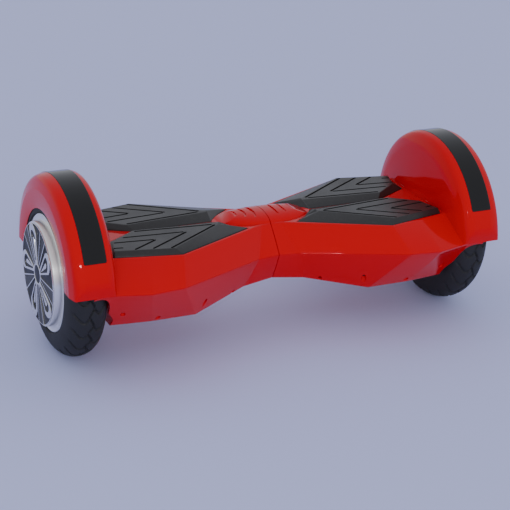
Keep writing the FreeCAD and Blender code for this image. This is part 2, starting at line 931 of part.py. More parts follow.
def hub_with_screw_holes():
    shape = hub()
    inner = cover_inner + cover_plate
    for y, z in cover_screw_spots():
        shape = shape.cut(rod_x(cover_screw_radius, inner - 1, inner + 9, y, z))
    return shape


def tyre_arch(half, height, count=8):
    """The rounded part of the tyre's section, from its inboard side over the tread."""
    widest = wheel_radius - tyre_crown
    points = []
    for i in range(count + 1):
        turn = math.pi * (1 - i / count)
        points.append(spot(wheel_mid + half * math.cos(turn), widest + height * math.sin(turn)))
    curve = Part.BSplineCurve()
    curve.interpolate(points)
    return curve.toShape()


def tyre():
    """Air-filled tyre: two beads on the rim, sidewalls, and a rounded tread."""
    half = tyre_width / 2
    widest = wheel_radius - tyre_crown
    bead_top = widest - 2.5
    hollow = half - tyre_wall
    edges = [
        *line_edges([(wheel_mid + half, widest), (wheel_mid + bead_half, bead_top),
                     (wheel_mid + bead_half, bead_radius), (wheel_mid + hollow, bead_radius),
                     (wheel_mid + hollow, widest)]),
        tyre_arch(hollow, tyre_crown - tread_wall),
        *line_edges([(wheel_mid - hollow, widest), (wheel_mid - hollow, bead_radius),
                     (wheel_mid - bead_half, bead_radius), (wheel_mid - bead_half, bead_top),
                     (wheel_mid - half, widest)]),
        tyre_arch(half, tyre_crown),
    ]
    return turned(Part.sortEdges(edges)[0])


def stator():
    """Laminated steel core on the axle, with one tooth for each coil."""
    low = wheel_mid - stator_half_length
    high = wheel_mid + stator_half_length
    core = ring_x(core_radius, axle_radius, low, high)
    for i in range(6):
        turn = math.pi * i / 3
        y, z = core_window_at * math.cos(turn), axle_z + core_window_at * math.sin(turn)
        core = core.cut(rod_x(core_window_radius, low - 1, high + 1, y, z))
    tooth = block(low, high, -tooth_half, tooth_half, axle_z + tooth_root, axle_z + tooth_tip)
    teeth = [rotated(tooth, i) for i in range(tooth_count)]
    shoe = ring_x(stator_radius, shoe_inner, low, high)
    gap = block(low - 1, high + 1, -slot_half, slot_half, axle_z + shoe_inner - 2, axle_z + stator_radius + 5)
    slots = [rotated(gap, i + 0.5) for i in range(tooth_count)]
    return joined([core, shoe.cut(Part.makeCompound(slots))] + teeth)


def rotated(shape, step):
    copy = shape.copy()
    copy.rotate(Vector(0, 0, axle_z), Vector(1, 0, 0), 360.0 * step / tooth_count)
    return copy


def coils():
    """Copper windings, one round each stator tooth."""
    low = wheel_mid - stator_half_length
    high = wheel_mid + stator_half_length
    half = tooth_half + coil_build
    outer = block(low - coil_build, high + coil_build, -half, half, axle_z + coil_root, axle_z + coil_tip)
    inner_half = tooth_half + coil_clearance
    tooth = block(low - coil_clearance, high + coil_clearance, -inner_half, inner_half,
                  axle_z + tooth_root, axle_z + tooth_tip)
    coil = outer.cut(tooth)
    return Part.makeCompound([rotated(coil, i) for i in range(tooth_count)])


def magnets():
    """Flat-backed magnets glued round the inside of the drum."""
    outer = drum_inner_radius
    inner = max(outer - magnet_thickness, stator_radius + magnet_gap)
    low = wheel_mid - stator_half_length - 1
    high = wheel_mid + stator_half_length + 1
    sweep = 360.0 / magnet_count
    pieces = [turned_box(low, high, inner, outer, i * sweep + 1, sweep - 2) for i in range(magnet_count)]
    return Part.makeCompound(pieces)


def trim_pocket():
    """One drop-shaped pocket, wide end towards the rim."""
    low = hub_face_x + pocket_floor
    high = trim_x + 1
    wide_z = axle_z + pocket_wide_at
    narrow_z = axle_z + pocket_narrow_at
    wide = rod_x(pocket_wide_radius, low, high, 0, wide_z)
    narrow = rod_x(pocket_narrow_radius, low, high, 0, narrow_z)
    corners = [(-pocket_wide_radius, wide_z), (-pocket_narrow_radius, narrow_z),
               (pocket_narrow_radius, narrow_z), (pocket_wide_radius, wide_z)]
    return joined([wide, narrow, prism_x(corners, low, high)])


def wheel_trim():
    """Spoked trim disc on the hub's outer face: five twin spokes between drop-shaped pockets."""
    trim = rod_x(trim_radius, hub_face_x, trim_x)
    for i in range(spoke_count):
        pocket = trim_pocket()
        pocket.rotate(Vector(0, 0, axle_z), Vector(1, 0, 0), 360.0 * i / spoke_count)
        trim = trim.cut(pocket)
    return trim


# ---- Electrics ----------------------------------------------------------------------------------

battery_lift = 9.2              # case's underside above the floor plate
cell_gap = 0.2
foot_length = 8.0
foot_half = 30.0
battery_z = plate_top + battery_lift
board_start = plate_slope_x + 4.0


def battery_cells():
    """Two layers of round cells, each lying along the axle's direction."""
    cells = []
    for layer in range(2):
        z = battery_z + battery_wall + cell_radius + cell_gap / 2 + layer * (2 * cell_radius + cell_gap)
        for i in range(cells_per_layer):
            y = (i - (cells_per_layer - 1) / 2) * cell_pitch
            cells.append(rod_x(cell_radius, battery_x, battery_x + cell_length, y, z))
    return Part.makeCompound(cells)


def battery_case():
    """Closed tray for the cells, which stands on the left frame's floor plate."""
    start = battery_x - 0.5
    end = battery_x + cell_length + 0.5
    half = cells_per_layer * cell_pitch / 2 + 0.4
    low = battery_z + battery_wall
    high = low + 4 * cell_radius + 3 * cell_gap
    wall = battery_wall
    inside = block(start, end, -half, half, low, high)
    outside = block(start - wall, end + wall, -half - wall, half + wall, low - wall, high + wall)
    feet = []
    for x in (board_start, end - foot_length - 3):
        feet.append(block(x, x + foot_length, -foot_half, foot_half, plate_top, battery_z + 0.5))
    return joined([outside.cut(inside)] + feet)


sink_length = 38.0
sink_half = 36.0
sink_height = 10.0
sink_base = 4.0
fin_count = 9
fin_thickness = 2.0


def heat_sink():
    """Finned plate between the floor plate and the main board."""
    end = board_start + sink_length
    base = block(board_start, end, -sink_half, sink_half, plate_top, plate_top + sink_base)
    reach = sink_half - 4.0
    fins = []
    for i in range(fin_count):
        y = -reach + i * 2 * reach / (fin_count - 1)
        low, high = y - fin_thickness / 2, y + fin_thickness / 2
        fins.append(block(board_start, end, low, high, plate_top + sink_base - 1, plate_top + sink_height))
    return joined([base] + fins)


board_overhang = 12.0           # main board past the heat sink, front and rear
chip_count = 6
chip_pitch = 9.0
chip_width = 7.0
can_count = 3
can_pitch = 16.0
can_radius = 6.0
can_height = 20.0


def main_board():
    """Motor controller board on the heat sink, with its power transistors and capacitors."""
    low = plate_top + sink_height
    seat = low + board_thickness - 0.1
    start = board_start - 20.0
    end = board_start + sink_length + 3.0
    half = sink_half + board_overhang
    pieces = [block(start, end, -half, half, low, low + board_thickness)]
    for i in range(chip_count):
        x = start + 5 + chip_pitch * i
        pieces.append(block(x, x + chip_width, -half + 4, -half + 14, seat, low + 6))
    for i in range(can_count):
        pieces.append(rod_z(can_radius, start + 12 + can_pitch * i, half - 12, seat, low + can_height))
    pieces.append(block(start + 10, start + 50, -12, 6, seat, low + 9))
    return joined(pieces)


gate_half_length = 5.0
gate_half_width = 3.0
gate_height = 2.7


def sensor_board():
    """Gyro and foot-switch board on the frame's posts, with a light gate under each pad stem."""
    top = board_z + board_thickness
    middle = (post_xs[0] + post_xs[1]) / 2
    pieces = [block(post_xs[0] - 6, post_xs[1] + 6, -post_y - 6, post_y + 6, board_z, top)]
    pieces.append(block(middle - 5, middle + 5, -5, 5, top - 0.1, top + 1.9))
    for y in (-stem_y, stem_y):
        pieces.append(block(stem_x - gate_half_length, stem_x + gate_half_length,
                            y - gate_half_width, y + gate_half_width, top - 0.1, top - 0.1 + gate_height))
    return joined(pieces)


def facet_place():
    """Where the rear lower facet carries a fitting: its middle and its outward normal."""
    a, b, c = (Vector(*p) for p in (crease_line[1], crease_line[2], belly_line[2]))
    middle = (a + b + c) * (1 / 3.0)
    normal = (b - a).cross(c - a)
    normal.normalize()
    if normal.y < 0:
        normal = normal * -1
    return middle, normal


def on_facet(shape):
    """Moves a piece drawn on the XY plane to the rear facet, its +Y pointing up the slope."""
    middle, normal = facet_place()
    across = Vector(0, 0, 1).cross(normal)
    across.normalize()
    up = normal.cross(across)
    matrix = FreeCAD.Matrix(across.x, up.x, normal.x, middle.x,
                            across.y, up.y, normal.y, middle.y,
                            across.z, up.z, normal.z, middle.z,
                            0, 0, 0, 1)
    placed = shape.copy()
    placed.Placement = FreeCAD.Placement(matrix)
    return placed


def local_rod(radius, low, high, x=0.0, y=0.0):
    return Part.makeCylinder(radius, high - low, Vector(x, y, low), Vector(0, 0, 1))


def port_hole():
    return on_facet(local_rod(socket_radius + port_clearance, -port_wall_reach, port_wall_reach))


def hinge_rod(radius, half):
    return Part.makeCylinder(radius, 2 * half, Vector(-half, hinge_offset, hinge_height), Vector(1, 0, 0))


def local_box(half, y0, y1, z0, z1):
    return Part.makeBox(2 * half, y1 - y0, z1 - z0, Vector(-half, y0, z0))


def charge_socket():
    """Round three-pin charging socket with a bezel and the ears of its cap's hinge."""
    bezel = local_rod(bezel_radius, 0.0, bezel_thickness)
    barrel = local_rod(socket_radius, -socket_depth, 0.1)
    ears = []
    for x in (-ear_outer, ear_outer - ear_thickness):
        strap = Part.makeBox(ear_thickness, hinge_offset - 6.9, bezel_thickness, Vector(x, bezel_radius - 2, 0))
        ear = Part.makeBox(ear_thickness, 3.4, hinge_height + 1.5, Vector(x, hinge_offset - 1.8, 0))
        ears += [strap, ear]
    body = joined([bezel, barrel] + ears + [hinge_rod(hinge_pin_radius, ear_outer)])
    body = body.cut(local_rod(socket_bore, 3 - socket_depth, 5.0))
    contacts = []
    for i in range(3):
        turn = math.radians(90 + 120 * i)
        x, y = contact_ring * math.cos(turn), contact_ring * math.sin(turn)
        contacts.append(local_rod(contact_radius, 2.5 - socket_depth, 4.4 - socket_depth, x, y))
    return on_facet(joined([body] + contacts))


def charge_cap():
    """Rubber cap that swings up off the charging socket."""
    low = bezel_thickness + cap_gap
    disc = local_rod(bezel_radius - 0.4, low, low + cap_thickness)
    arm = local_box(knuckle_half, 6.0, hinge_offset, low + 0.3, low + cap_thickness)
    tab = local_box(3.0, -bezel_radius - 1.5, -bezel_radius + 1.5, low + 0.3, low + 1.5)
    knuckle = hinge_rod(knuckle_radius, knuckle_half)
    bore = hinge_rod(hinge_pin_radius + 0.06, knuckle_half + 0.5)
    return on_facet(joined([disc, arm, knuckle, tab]).cut(bore))


def button_bezel():
    bezel = local_rod(bezel_radius, 0.0, bezel_thickness)
    barrel = local_rod(socket_radius, -button_depth, 0.1)
    bore = local_rod(button_radius + port_clearance, 3 - button_depth, 5.0)
    return on_facet(joined([bezel, barrel]).cut(bore))


def power_button():
    """Push button with a dished top, standing a little proud of its bezel."""
    button = local_rod(button_radius, -5.0, bezel_thickness + button_proud)
    dish = Part.makeSphere(dish_radius, Vector(0, 0, bezel_thickness + button_proud - 0.5 + dish_radius))
    return on_facet(button.cut(dish))


# ---- Assembly -----------------------------------------------------------------------------------

def mirrored_pair(nodes, name, shape):
    nodes["right_" + name] = shape
    nodes["left_" + name] = left_of(shape)


def all_nodes():
    nodes = {}
    mirrored_pair(nodes, "upper_shell", upper_shell())
    tub = lower_shell().cut(port_hole())
    mirrored_pair(nodes, "lower_shell", tub)
    mirrored_pair(nodes, "shell_screws", shell_screws())
    mirrored_pair(nodes, "fender_lens", fender_lens())
    mirrored_pair(nodes, "light_strip", light_strip())
    mirrored_pair(nodes, "waist_cover", waist_cover())
    pad = foot_pad()
    mirrored_pair(nodes, "front_pad", pad)
    mirrored_pair(nodes, "rear_pad", rear_of(pad))
    nodes["right_frame"] = right_frame()
    nodes["left_frame"] = left_of(frame(tube_radius))
    nodes["pivot_tube"] = pivot_tube()
    nodes["pivot_bushes"] = pivot_bushes()
    nodes["pivot_circlip"] = pivot_circlip()
    nodes["stop_pin"] = stop_pin()
    nodes["pivot_harness"] = pivot_harness()
    mirrored_pair(nodes, "axle", axle())
    mirrored_pair(nodes, "axle_clamp", axle_clamp())
    mirrored_pair(nodes, "clamp_bolts", clamp_bolts())
    mirrored_pair(nodes, "wheel_bearings", wheel_bearings())
    mirrored_pair(nodes, "hub", hub_with_screw_holes())
    mirrored_pair(nodes, "hub_cover", hub_cover())
    mirrored_pair(nodes, "cover_screws", cover_screws())
    mirrored_pair(nodes, "tyre", tyre())
    mirrored_pair(nodes, "stator", stator())
    mirrored_pair(nodes, "coils", coils())
    mirrored_pair(nodes, "magnets", magnets())
    mirrored_pair(nodes, "wheel_trim", wheel_trim())
    mirrored_pair(nodes, "sensor_board", sensor_board())
    nodes["battery_case"] = left_of(battery_case())
    nodes["battery_cells"] = left_of(battery_cells())
    nodes["heat_sink"] = heat_sink()
    nodes["main_board"] = main_board()
    nodes["charge_socket"] = charge_socket()
    nodes["charge_cap"] = charge_cap()
    nodes["button_bezel"] = left_of(button_bezel())
    nodes["power_button"] = left_of(power_button())
    return nodes


os.makedirs("parts", exist_ok=True)
for name, shape in all_nodes().items():
    shape.exportStep("parts/" + name + ".step")
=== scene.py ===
"""A self-balancing two-wheeled board: red gloss shells on a twisting pivot, a hub-motor wheel at each end.

Metres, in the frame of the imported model: +X to the right-hand wheel, -Y to the front, +Z up.
"""

import math

import bmesh
import bpy
from mathutils import Matrix, Vector


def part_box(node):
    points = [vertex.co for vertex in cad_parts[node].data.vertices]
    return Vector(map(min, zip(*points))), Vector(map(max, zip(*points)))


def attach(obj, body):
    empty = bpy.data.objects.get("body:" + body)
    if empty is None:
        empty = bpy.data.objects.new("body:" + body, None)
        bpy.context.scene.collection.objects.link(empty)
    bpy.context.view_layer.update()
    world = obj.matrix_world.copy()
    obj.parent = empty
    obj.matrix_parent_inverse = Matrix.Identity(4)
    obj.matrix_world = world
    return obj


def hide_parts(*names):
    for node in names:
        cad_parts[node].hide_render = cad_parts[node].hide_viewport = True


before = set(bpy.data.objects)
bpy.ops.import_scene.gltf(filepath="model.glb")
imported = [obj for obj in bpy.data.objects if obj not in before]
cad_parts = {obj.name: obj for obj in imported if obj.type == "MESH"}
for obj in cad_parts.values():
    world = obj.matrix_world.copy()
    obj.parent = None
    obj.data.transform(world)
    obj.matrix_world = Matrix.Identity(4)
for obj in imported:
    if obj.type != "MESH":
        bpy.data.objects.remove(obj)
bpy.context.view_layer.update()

# ---- Camera, floor and light --------------------------------------------------------------------
# A long lens from the front left and a little above, over a plain pale floor. Even room light comes
# from all round, broad daylight from the front, and a small flash sits beside the camera.

camera_place = Vector((-0.730554, -1.550633, 0.781953))
camera_yaw = 0.436988
camera_pitch = 0.386622
camera_roll = 0.033027
lens_mm = 107.19
ahead = Vector((math.sin(camera_yaw) * math.cos(camera_pitch),
                math.cos(camera_yaw) * math.cos(camera_pitch),
                -math.sin(camera_pitch)))
level = Vector((math.cos(camera_yaw), -math.sin(camera_yaw), 0))
upright = level.cross(ahead)
camera_right = level * math.cos(camera_roll) + upright * math.sin(camera_roll)
camera_up = upright * math.cos(camera_roll) - level * math.sin(camera_roll)
camera_data = bpy.data.cameras.new("camera")
camera_data.lens = lens_mm
camera_data.sensor_width = 36.0
camera_data.clip_end = 50.0
camera = bpy.data.objects.new("camera", camera_data)
camera.matrix_world = Matrix((
    (camera_right.x, camera_up.x, -ahead.x, camera_place.x),
    (camera_right.y, camera_up.y, -ahead.y, camera_place.y),
    (camera_right.z, camera_up.z, -ahead.z, camera_place.z),
    (0, 0, 0, 1)))
bpy.context.scene.collection.objects.link(camera)
bpy.context.scene.camera = camera

world = bpy.data.worlds.new("room")
world.use_nodes = True
world.node_tree.nodes["Background"].inputs["Color"].default_value = (0.70, 0.72, 0.80, 1)
world.node_tree.nodes["Background"].inputs["Strength"].default_value = 1.0
bpy.context.scene.world = world

daylight = bpy.data.lights.new("front_daylight", "SUN")
daylight.energy = 1.4
daylight.angle = math.radians(50)
daylight.color = (1.0, 0.95, 0.87)
daylight_heading = Vector((0.25, 1.0, -0.20))
window = bpy.data.objects.new("front_daylight", daylight)
window.rotation_euler = daylight_heading.to_track_quat("-Z", "Y").to_euler()
window.visible_glossy = False
bpy.context.scene.collection.objects.link(window)

flash_place = camera_place + Vector((0.03, 0, 0.05))
flash_aim = Vector((0, 0, 0.1))
flash = bpy.data.lights.new("small_flash", "AREA")
flash.shape = "RECTANGLE"
flash.size = flash.size_y = 0.05
flash.energy = 2.0
flash.color = (0.95, 0.97, 1.0)
flash_head = bpy.data.objects.new("small_flash", flash)
flash_head.location = flash_place
flash_head.rotation_euler = (flash_aim - flash_place).to_track_quat("-Z", "Y").to_euler()
bpy.context.scene.collection.objects.link(flash_head)

floor_mesh = bpy.data.meshes.new("floor")
floor_reach = 12.0
floor_mesh.from_pydata([(-floor_reach, -floor_reach, 0), (floor_reach, -floor_reach, 0),
                        (floor_reach, floor_reach, 0), (-floor_reach, floor_reach, 0)], [], [(0, 1, 2, 3)])
floor = bpy.data.objects.new("floor", floor_mesh)
bpy.context.scene.collection.objects.link(floor)
floor_paint = bpy.data.materials.new("floor_paint")
floor_paint.use_nodes = True
floor_surface = floor_paint.node_tree.nodes["Principled BSDF"]
floor_surface.inputs["Base Color"].default_value = (0.555, 0.595, 0.95, 1)
floor_surface.inputs["Roughness"].default_value = 0.85
floor_mesh.materials.append(floor_paint)

# ---- Upper shells -------------------------------------------------------------------------------
# One red moulding for each half: the deck with its sunk seats for the foot pads, sloping sides with
# soft edges, and the hollow fender over the wheel. Built once at +X and mirrored in the seam.

mm = 0.001
axle = Vector((0, 0, 0.1))
deck_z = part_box("right_front_pad")[1].z - 6.0 * mm
belly_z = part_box("right_lower_shell")[0].z
arch_x = 0.213
face_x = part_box("right_upper_shell")[1].x
fender_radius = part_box("right_upper_shell")[1].z - axle.z
seam_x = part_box("right_upper_shell")[0].x
parting_end_z = 0.1085

deck_knots = [(seam_x, 0.0275, deck_z), (0.0125, 0.0288, deck_z), (0.134, 0.0853, deck_z),
              (0.175, 0.0770, deck_z), (0.232, 0.0655, deck_z)]
crease_knots = [(seam_x, 0.055, 0.1055), (0.027, 0.057, 0.1045), (0.144, 0.117, 0.1095),
                (0.184, 0.1195, parting_end_z), (0.230, 0.1073, parting_end_z)]
toe_knot = (0.248, 0.1105, parting_end_z)
belly_knots = [(seam_x, 0.037, 0.0685), (0.040, 0.0425, 0.065), (0.113, 0.072, belly_z),
               (0.168, 0.072, belly_z), (0.222, 0.066, belly_z), (0.248, 0.060, belly_z)]


def eased_corner(before, corner, after, reach, steps):
    """Points of a rounded corner that starts and ends that far from it."""
    near = corner + (before - corner).normalized() * min(reach, (before - corner).length * 0.45)
    far = corner + (after - corner).normalized() * min(reach, (after - corner).length * 0.45)
    points = []
    for i in range(steps + 1):
        t = i / steps
        points.append(near * (1 - t) ** 2 + corner * 2 * t * (1 - t) + far * t ** 2)
    return points


def run_of(knots, reach, steps=6, stretch=6):
    """A line through knots with rounded corners, as rows that match from one line to the next."""
    knots = [Vector(k) for k in knots]
    points = [knots[0]]
    for before, corner, after in zip(knots, knots[1:], knots[2:]):
        turn = eased_corner(before, corner, after, reach, steps)
        points += [points[-1].lerp(turn[0], i / stretch) for i in range(1, stretch)]
        points += turn
    points += [points[-1].lerp(knots[-1], i / stretch) for i in range(1, stretch + 1)]
    return points


def bowed(start, end, away, rise, steps):
    """Points between start and end on a slight bow away from the body."""
    points = []
    for i in range(1, steps):
        t = i / steps
        points.append(start.lerp(end, t) + away * (rise * 4 * t * (1 - t)))
    return points


def section_ring(crease, edge, edge_reach, rim_reach, rise, steps=12):
    """One closed section of a shell block: up the front side, across, down the rear and back."""
    front = Vector((crease.x, -crease.y, crease.z))
    front_edge = Vector((edge.x, -edge.y, edge.z))
    side = (front_edge - front).normalized()
    away = Vector((0, -side.z, side.y)) if front_edge.z > front.z else Vector((0, side.z, -side.y))
    away.normalize()
    rim = eased_corner(Vector((front.x, 0, front.z)), front, front_edge, rim_reach, 3)
    shoulder = eased_corner(front, front_edge, Vector((edge.x, 0, edge.z)), edge_reach, 6)
    half = rim + bowed(rim[-1], shoulder[0], away, rise, steps) + shoulder
    across = [shoulder[-1].lerp(Vector((edge.x, 0, edge.z)), i / 5) for i in range(1, 5)]
    half += across
    middle = [Vector((edge.x, 0, edge.z))]
    rear = [Vector((p.x, -p.y, p.z)) for p in reversed(half)]
    under = [Vector((crease.x, 0, crease.z))]
    return half + middle + rear + under


def skinned(name, rings):
    """A closed mesh through rings with equal numbers of points."""
    shape = bmesh.new()
    rows = [[shape.verts.new(p) for p in ring] for ring in rings]
    for near, far in zip(rows, rows[1:]):
        for i in range(len(near)):
            j = (i + 1) % len(near)
            shape.faces.new((near[i], near[j], far[j], far[i]))
    shape.faces.new(rows[0][::-1])
    shape.faces.new(rows[-1])
    bmesh.ops.recalc_face_normals(shape, faces=shape.faces)
    return as_object(name, shape)


def as_object(name, shape):
    mesh = bpy.data.meshes.new(name)
    shape.to_mesh(mesh)
    shape.free()
    piece = bpy.data.objects.new(name, mesh)
    bpy.context.scene.collection.objects.link(piece)
    return piece


def turned(name, profile, start=0.0, sweep=math.tau, steps=180):
    """A closed (x, radius) profile turned about the axle line."""
    full = abs(sweep - math.tau) < 1e-6
    count = steps if full else steps + 1
    shape = bmesh.new()
    rows = []
    for i in range(count):
        turn = start + sweep * i / steps
        y, z = -math.cos(turn), math.sin(turn)
        rows.append([shape.verts.new((x, r * y, axle.z + r * z)) for x, r in profile])
    pairs = list(zip(rows, rows[1:] + rows[:1])) if full else list(zip(rows, rows[1:]))
    for near, far in pairs:
        for i in range(len(profile)):
            j = (i + 1) % len(profile)
            shape.faces.new((near[i], near[j], far[j], far[i]))
    if not full:
        shape.faces.new(rows[0][::-1])
        shape.faces.new(rows[-1])
    bmesh.ops.remove_doubles(shape, verts=shape.verts, dist=1e-7)
    bmesh.ops.recalc_face_normals(shape, faces=shape.faces)
    return as_object(name, shape)


def prism(name, outline, low, high):
    """An (x, y) outline raised from low to high."""
    return skinned(name, [[(x, y, z) for x, y in outline] for z in (low, high)])


def combine(piece, others, how):
    """Joins other solids to a piece, or cuts them out of it, and removes them."""
    for other in others:
        step = piece.modifiers.new(how.lower(), "BOOLEAN")
        step.object = other
        step.operation = how
        step.solver = "EXACT"
    finished = bpy.data.meshes.new_from_object(piece.evaluated_get(bpy.context.evaluated_depsgraph_get()))
    piece.modifiers.clear()
    piece.data = finished
    for other in others:
        bpy.data.objects.remove(other)
    return piece


def round_profile(points, reaches, steps=6):
    """An open (x, radius) profile with each inner corner rounded."""
    flat = [Vector((x, r, 0)) for x, r in points]
    out = [flat[0]]
    for before, corner, after, reach in zip(flat, flat[1:], flat[2:], reaches):
        if reach:
            out += eased_corner(before, corner, after, reach, steps)
        else:
            out.append(corner)
    out.append(flat[-1])
    return [(p.x, p.y) for p in out]


def shell_block(name, edges, creases, edge_reach, rise):
    rows = zip(run_of(edges, 0.0015), run_of(creases, 0.0015))
    return skinned(name, [section_ring(crease, edge, edge_reach, 0.0008, rise) for edge, crease in rows])


def cavity_block(name, edges, creases, level_z, wall, side_wall, overrun):
    """The hollow of a half's body: its corners moved in from the outline by the walls."""
    rings = []
    stations = list(zip(edges, creases))
    for i, (edge, crease) in enumerate(stations):
        t = (level_z(edge) - edge[2]) / (crease[2] - edge[2])
        x = edge[0] + (crease[0] - edge[0]) * t
        y = edge[1] + (crease[1] - edge[1]) * t - side_wall
        rim_x, rim_y = crease[0], crease[1] - side_wall
        if i == 0:
            x = rim_x = seam_x + wall
        if i == len(stations) - 1:
            x = rim_x = arch_x
        half = [Vector((x, -y, level_z(edge))), Vector((rim_x, -rim_y, crease[2])),
                Vector((rim_x, -rim_y, crease[2] + overrun))]
        rings.append(half + [Vector((p.x, -p.y, p.z)) for p in reversed(half)])
    return skinned(name, rings)


def at_arch(knots):
    """The outline where it meets the wheel arch wall."""
    for near, far in zip(knots, knots[1:]):
        if far[0] >= arch_x:
            t = (arch_x - near[0]) / (far[0] - near[0])
            return tuple(a + (b - a) * t for a, b in zip(near, far))
    return knots[-1]


shell_wall = 2.5 * mm
slope_wall = 4.0 * mm
face_wall = 1.4 * mm
band_wall = 3.2 * mm
opening_radius = 75 * mm
recess_depth = 4.8 * mm
seat_gap = 0.4 * mm
seat_bevel = 0.7 * mm
ceiling_z = deck_z - recess_depth - 2.5 * mm
fold_rise = 22 * mm

fender_outline = round_profile(
    [(arch_x, 0), (arch_x, 0.050), (arch_x + 0.0055, fender_radius - 0.0175),
     (arch_x + 0.0105, fender_radius - 0.0030), (arch_x + 0.0190, fender_radius),
     (face_x - 0.0156, fender_radius), (face_x - 0.0035, fender_radius - 0.0035),
     (face_x, fender_radius - 0.0185), (face_x, opening_radius - 0.002)],
    [0.004, 0.005, 0.008, 0.003, 0.004, 0.006, 0.0012, 0], 7)
fender_outline = fender_outline[:-1] + [(face_x, 0)]


def fender_solid(name, outline, below_z, fold_inset):
    """The fender turned about the axle, cut off level at the parting line, its front foot leaning in."""
    piece = turned(name, outline)
    fold_z = axle.z + fold_rise
    fold_y = math.sqrt(fender_radius ** 2 - fold_rise ** 2) - fold_inset
    foot_y = fender_radius - 0.006 - fold_inset
    for vertex in piece.data.vertices:
        y, z = vertex.co.y, vertex.co.z
        if z < fold_z:
            limit = fold_y - (fold_y - foot_y) * (fold_z - z) / (fold_z - parting_end_z)
            if y < -limit:
                vertex.co.y = -limit
    near_x, far_x = arch_x - 0.02, face_x + 0.02
    box = prism("below", [(near_x, -0.2), (far_x, -0.2), (far_x, 0.2), (near_x, 0.2)], -0.1, below_z)
    return combine(piece, [box], "DIFFERENCE")


def shrunk(outline, side, crown, face):
    """The fender's profile moved in by its walls."""
    middle_x = (arch_x + face_x) / 2
    out = []
    for x, r in outline:
        new_x = x + side if x < middle_x else x - face
        out.append((new_x, max(r - crown, 0) if r > 0.09 else r))
    return out


pad_base = [(0.032, 0.0334), (0.1345, 0.0829), (0.2106, 0.067), (0.2106, 0.028), (0.1620, 0.0012),
            (0.0655, 0.0012), (0.0585, 0.013), (0.047, 0.022)]


def grown(outline, gap):
    """A convex outline moved outwards by a gap."""
    count = len(outline)
    signed = sum(outline[i][0] * outline[(i + 1) % count][1] - outline[(i + 1) % count][0] * outline[i][1]
                 for i in range(count))
    turn = 1 if signed > 0 else -1
    out = []
    for i in range(count):
        before, here, after = (Vector(outline[(i + k) % count]) for k in (-1, 0, 1))
        a, b = (here - before).normalized(), (after - here).normalized()
        normals = [Vector((a.y, -a.x)) * turn, Vector((b.y, -b.x)) * turn]
        middle = (normals[0] + normals[1]).normalized()
        reach = gap / max(middle.dot(normals[0]), 0.3)
        out.append(tuple(here + middle * reach))
    return out


def pad_seat(side):
    """A sunk seat for a foot pad, with a small bevel round its mouth."""
    outline = grown(pad_base, seat_gap)
    levels = ((0, deck_z - recess_depth), (0, deck_z - seat_bevel), (seat_bevel, deck_z),
              (0.0030, deck_z + 0.003))
    return skinned("pad_seat", [[(x, side * y, z) for x, y in grown(outline, gap)] for gap, z in levels])


lens_x = (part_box("right_fender_lens")[0].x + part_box("right_fender_lens")[1].x) / 2
lens_half = (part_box("right_fender_lens")[1].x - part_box("right_fender_lens")[0].x) / 2
lens_start = math.radians(24.6)
lens_sweep = math.pi - 2 * lens_start
lens_thickness = 1.6 * mm


def lens_band(name, margin, inner, outer, corner=0.0022, steps=110):
    """A band round the fender's crown with rounded ends, as a closed solid."""
    half = lens_half + margin
    reach = margin / fender_radius
    start, end = lens_start - reach, math.pi - lens_start + reach
    corner_turn = corner / fender_radius
    turns = [start + corner_turn * (1 - math.cos(math.pi / 2 * i / 5)) for i in range(6)]
    turns += [start + corner_turn + (end - start - 2 * corner_turn) * i / steps for i in range(1, steps)]
    turns += [end - corner_turn * (1 - math.cos(math.pi / 2 * i / 5)) for i in range(5, -1, -1)]
    rings = []
    for turn in turns:
        edge = min(turn - start, end - turn) / corner_turn
        draw = corner * (1 - math.sqrt(max(1 - (1 - min(edge, 1)) ** 2, 0)))
        w = half - draw
        c, s = -math.cos(turn), math.sin(turn)
        crown = [(lens_x - w, outer - 0.0002), (lens_x - w + 0.0003, outer), (lens_x - w / 2, outer),
                 (lens_x, outer), (lens_x + w / 2, outer), (lens_x + w - 0.0003, outer),
                 (lens_x + w, outer - 0.0002), (lens_x + w, inner), (lens_x - w, inner)]
        rings.append([Vector((x, r * c, axle.z + r * s)) for x, r in crown])
    return skinned(name, rings)


def upper_shell_solid():
    body = shell_block("upper_shell", deck_knots, crease_knots, 0.0022, 0.0006)
    fender = fender_solid("fender", fender_outline, parting_end_z, 0.0)
    combine(body, [fender], "UNION")
    inner = shrunk(fender_outline, shell_wall, band_wall, face_wall)
    hollow = fender_solid("fender_hollow", inner, parting_end_z - 0.001, shell_wall)
    edges = deck_knots[:4] + [at_arch(deck_knots)]
    creases = crease_knots[:4] + [at_arch(crease_knots)]
    cavity = cavity_block("cavity", edges, creases, lambda edge: ceiling_z, shell_wall, slope_wall, -0.008)
    opening = turned("opening", [(face_x - 0.004, 0), (face_x - 0.004, opening_radius),
                                 (face_x - 0.0011, opening_radius), (face_x, opening_radius + 0.0055),
                                 (face_x + 0.01, opening_radius + 0.0056), (face_x + 0.01, 0)])
    seat = lens_band("lens_seat", 0.00018, fender_radius - lens_thickness - 0.00005, fender_radius + 0.002)
    cutters = [cavity, hollow, opening, seat, pad_seat(-1), pad_seat(1)]
    return combine(body, cutters, "DIFFERENCE")


def smoothed(piece, angle=32):
    """Smooth shading with crisp edges where faces meet at more than this angle."""
    mesh = piece.data
    mesh.polygons.foreach_set("use_smooth", [True] * len(mesh.polygons))
    mesh.set_sharp_from_angle(angle=math.radians(angle))
    return piece


def mirrored(piece, name, scale=(-1, 1, 1)):
    """A mirror twin of a finished piece."""
    mesh = piece.data.copy()
    mesh.transform(Matrix.Diagonal((*scale, 1)))
    mesh.flip_normals()
    twin = bpy.data.objects.new(name, mesh)
    bpy.context.scene.collection.objects.link(twin)
    return twin


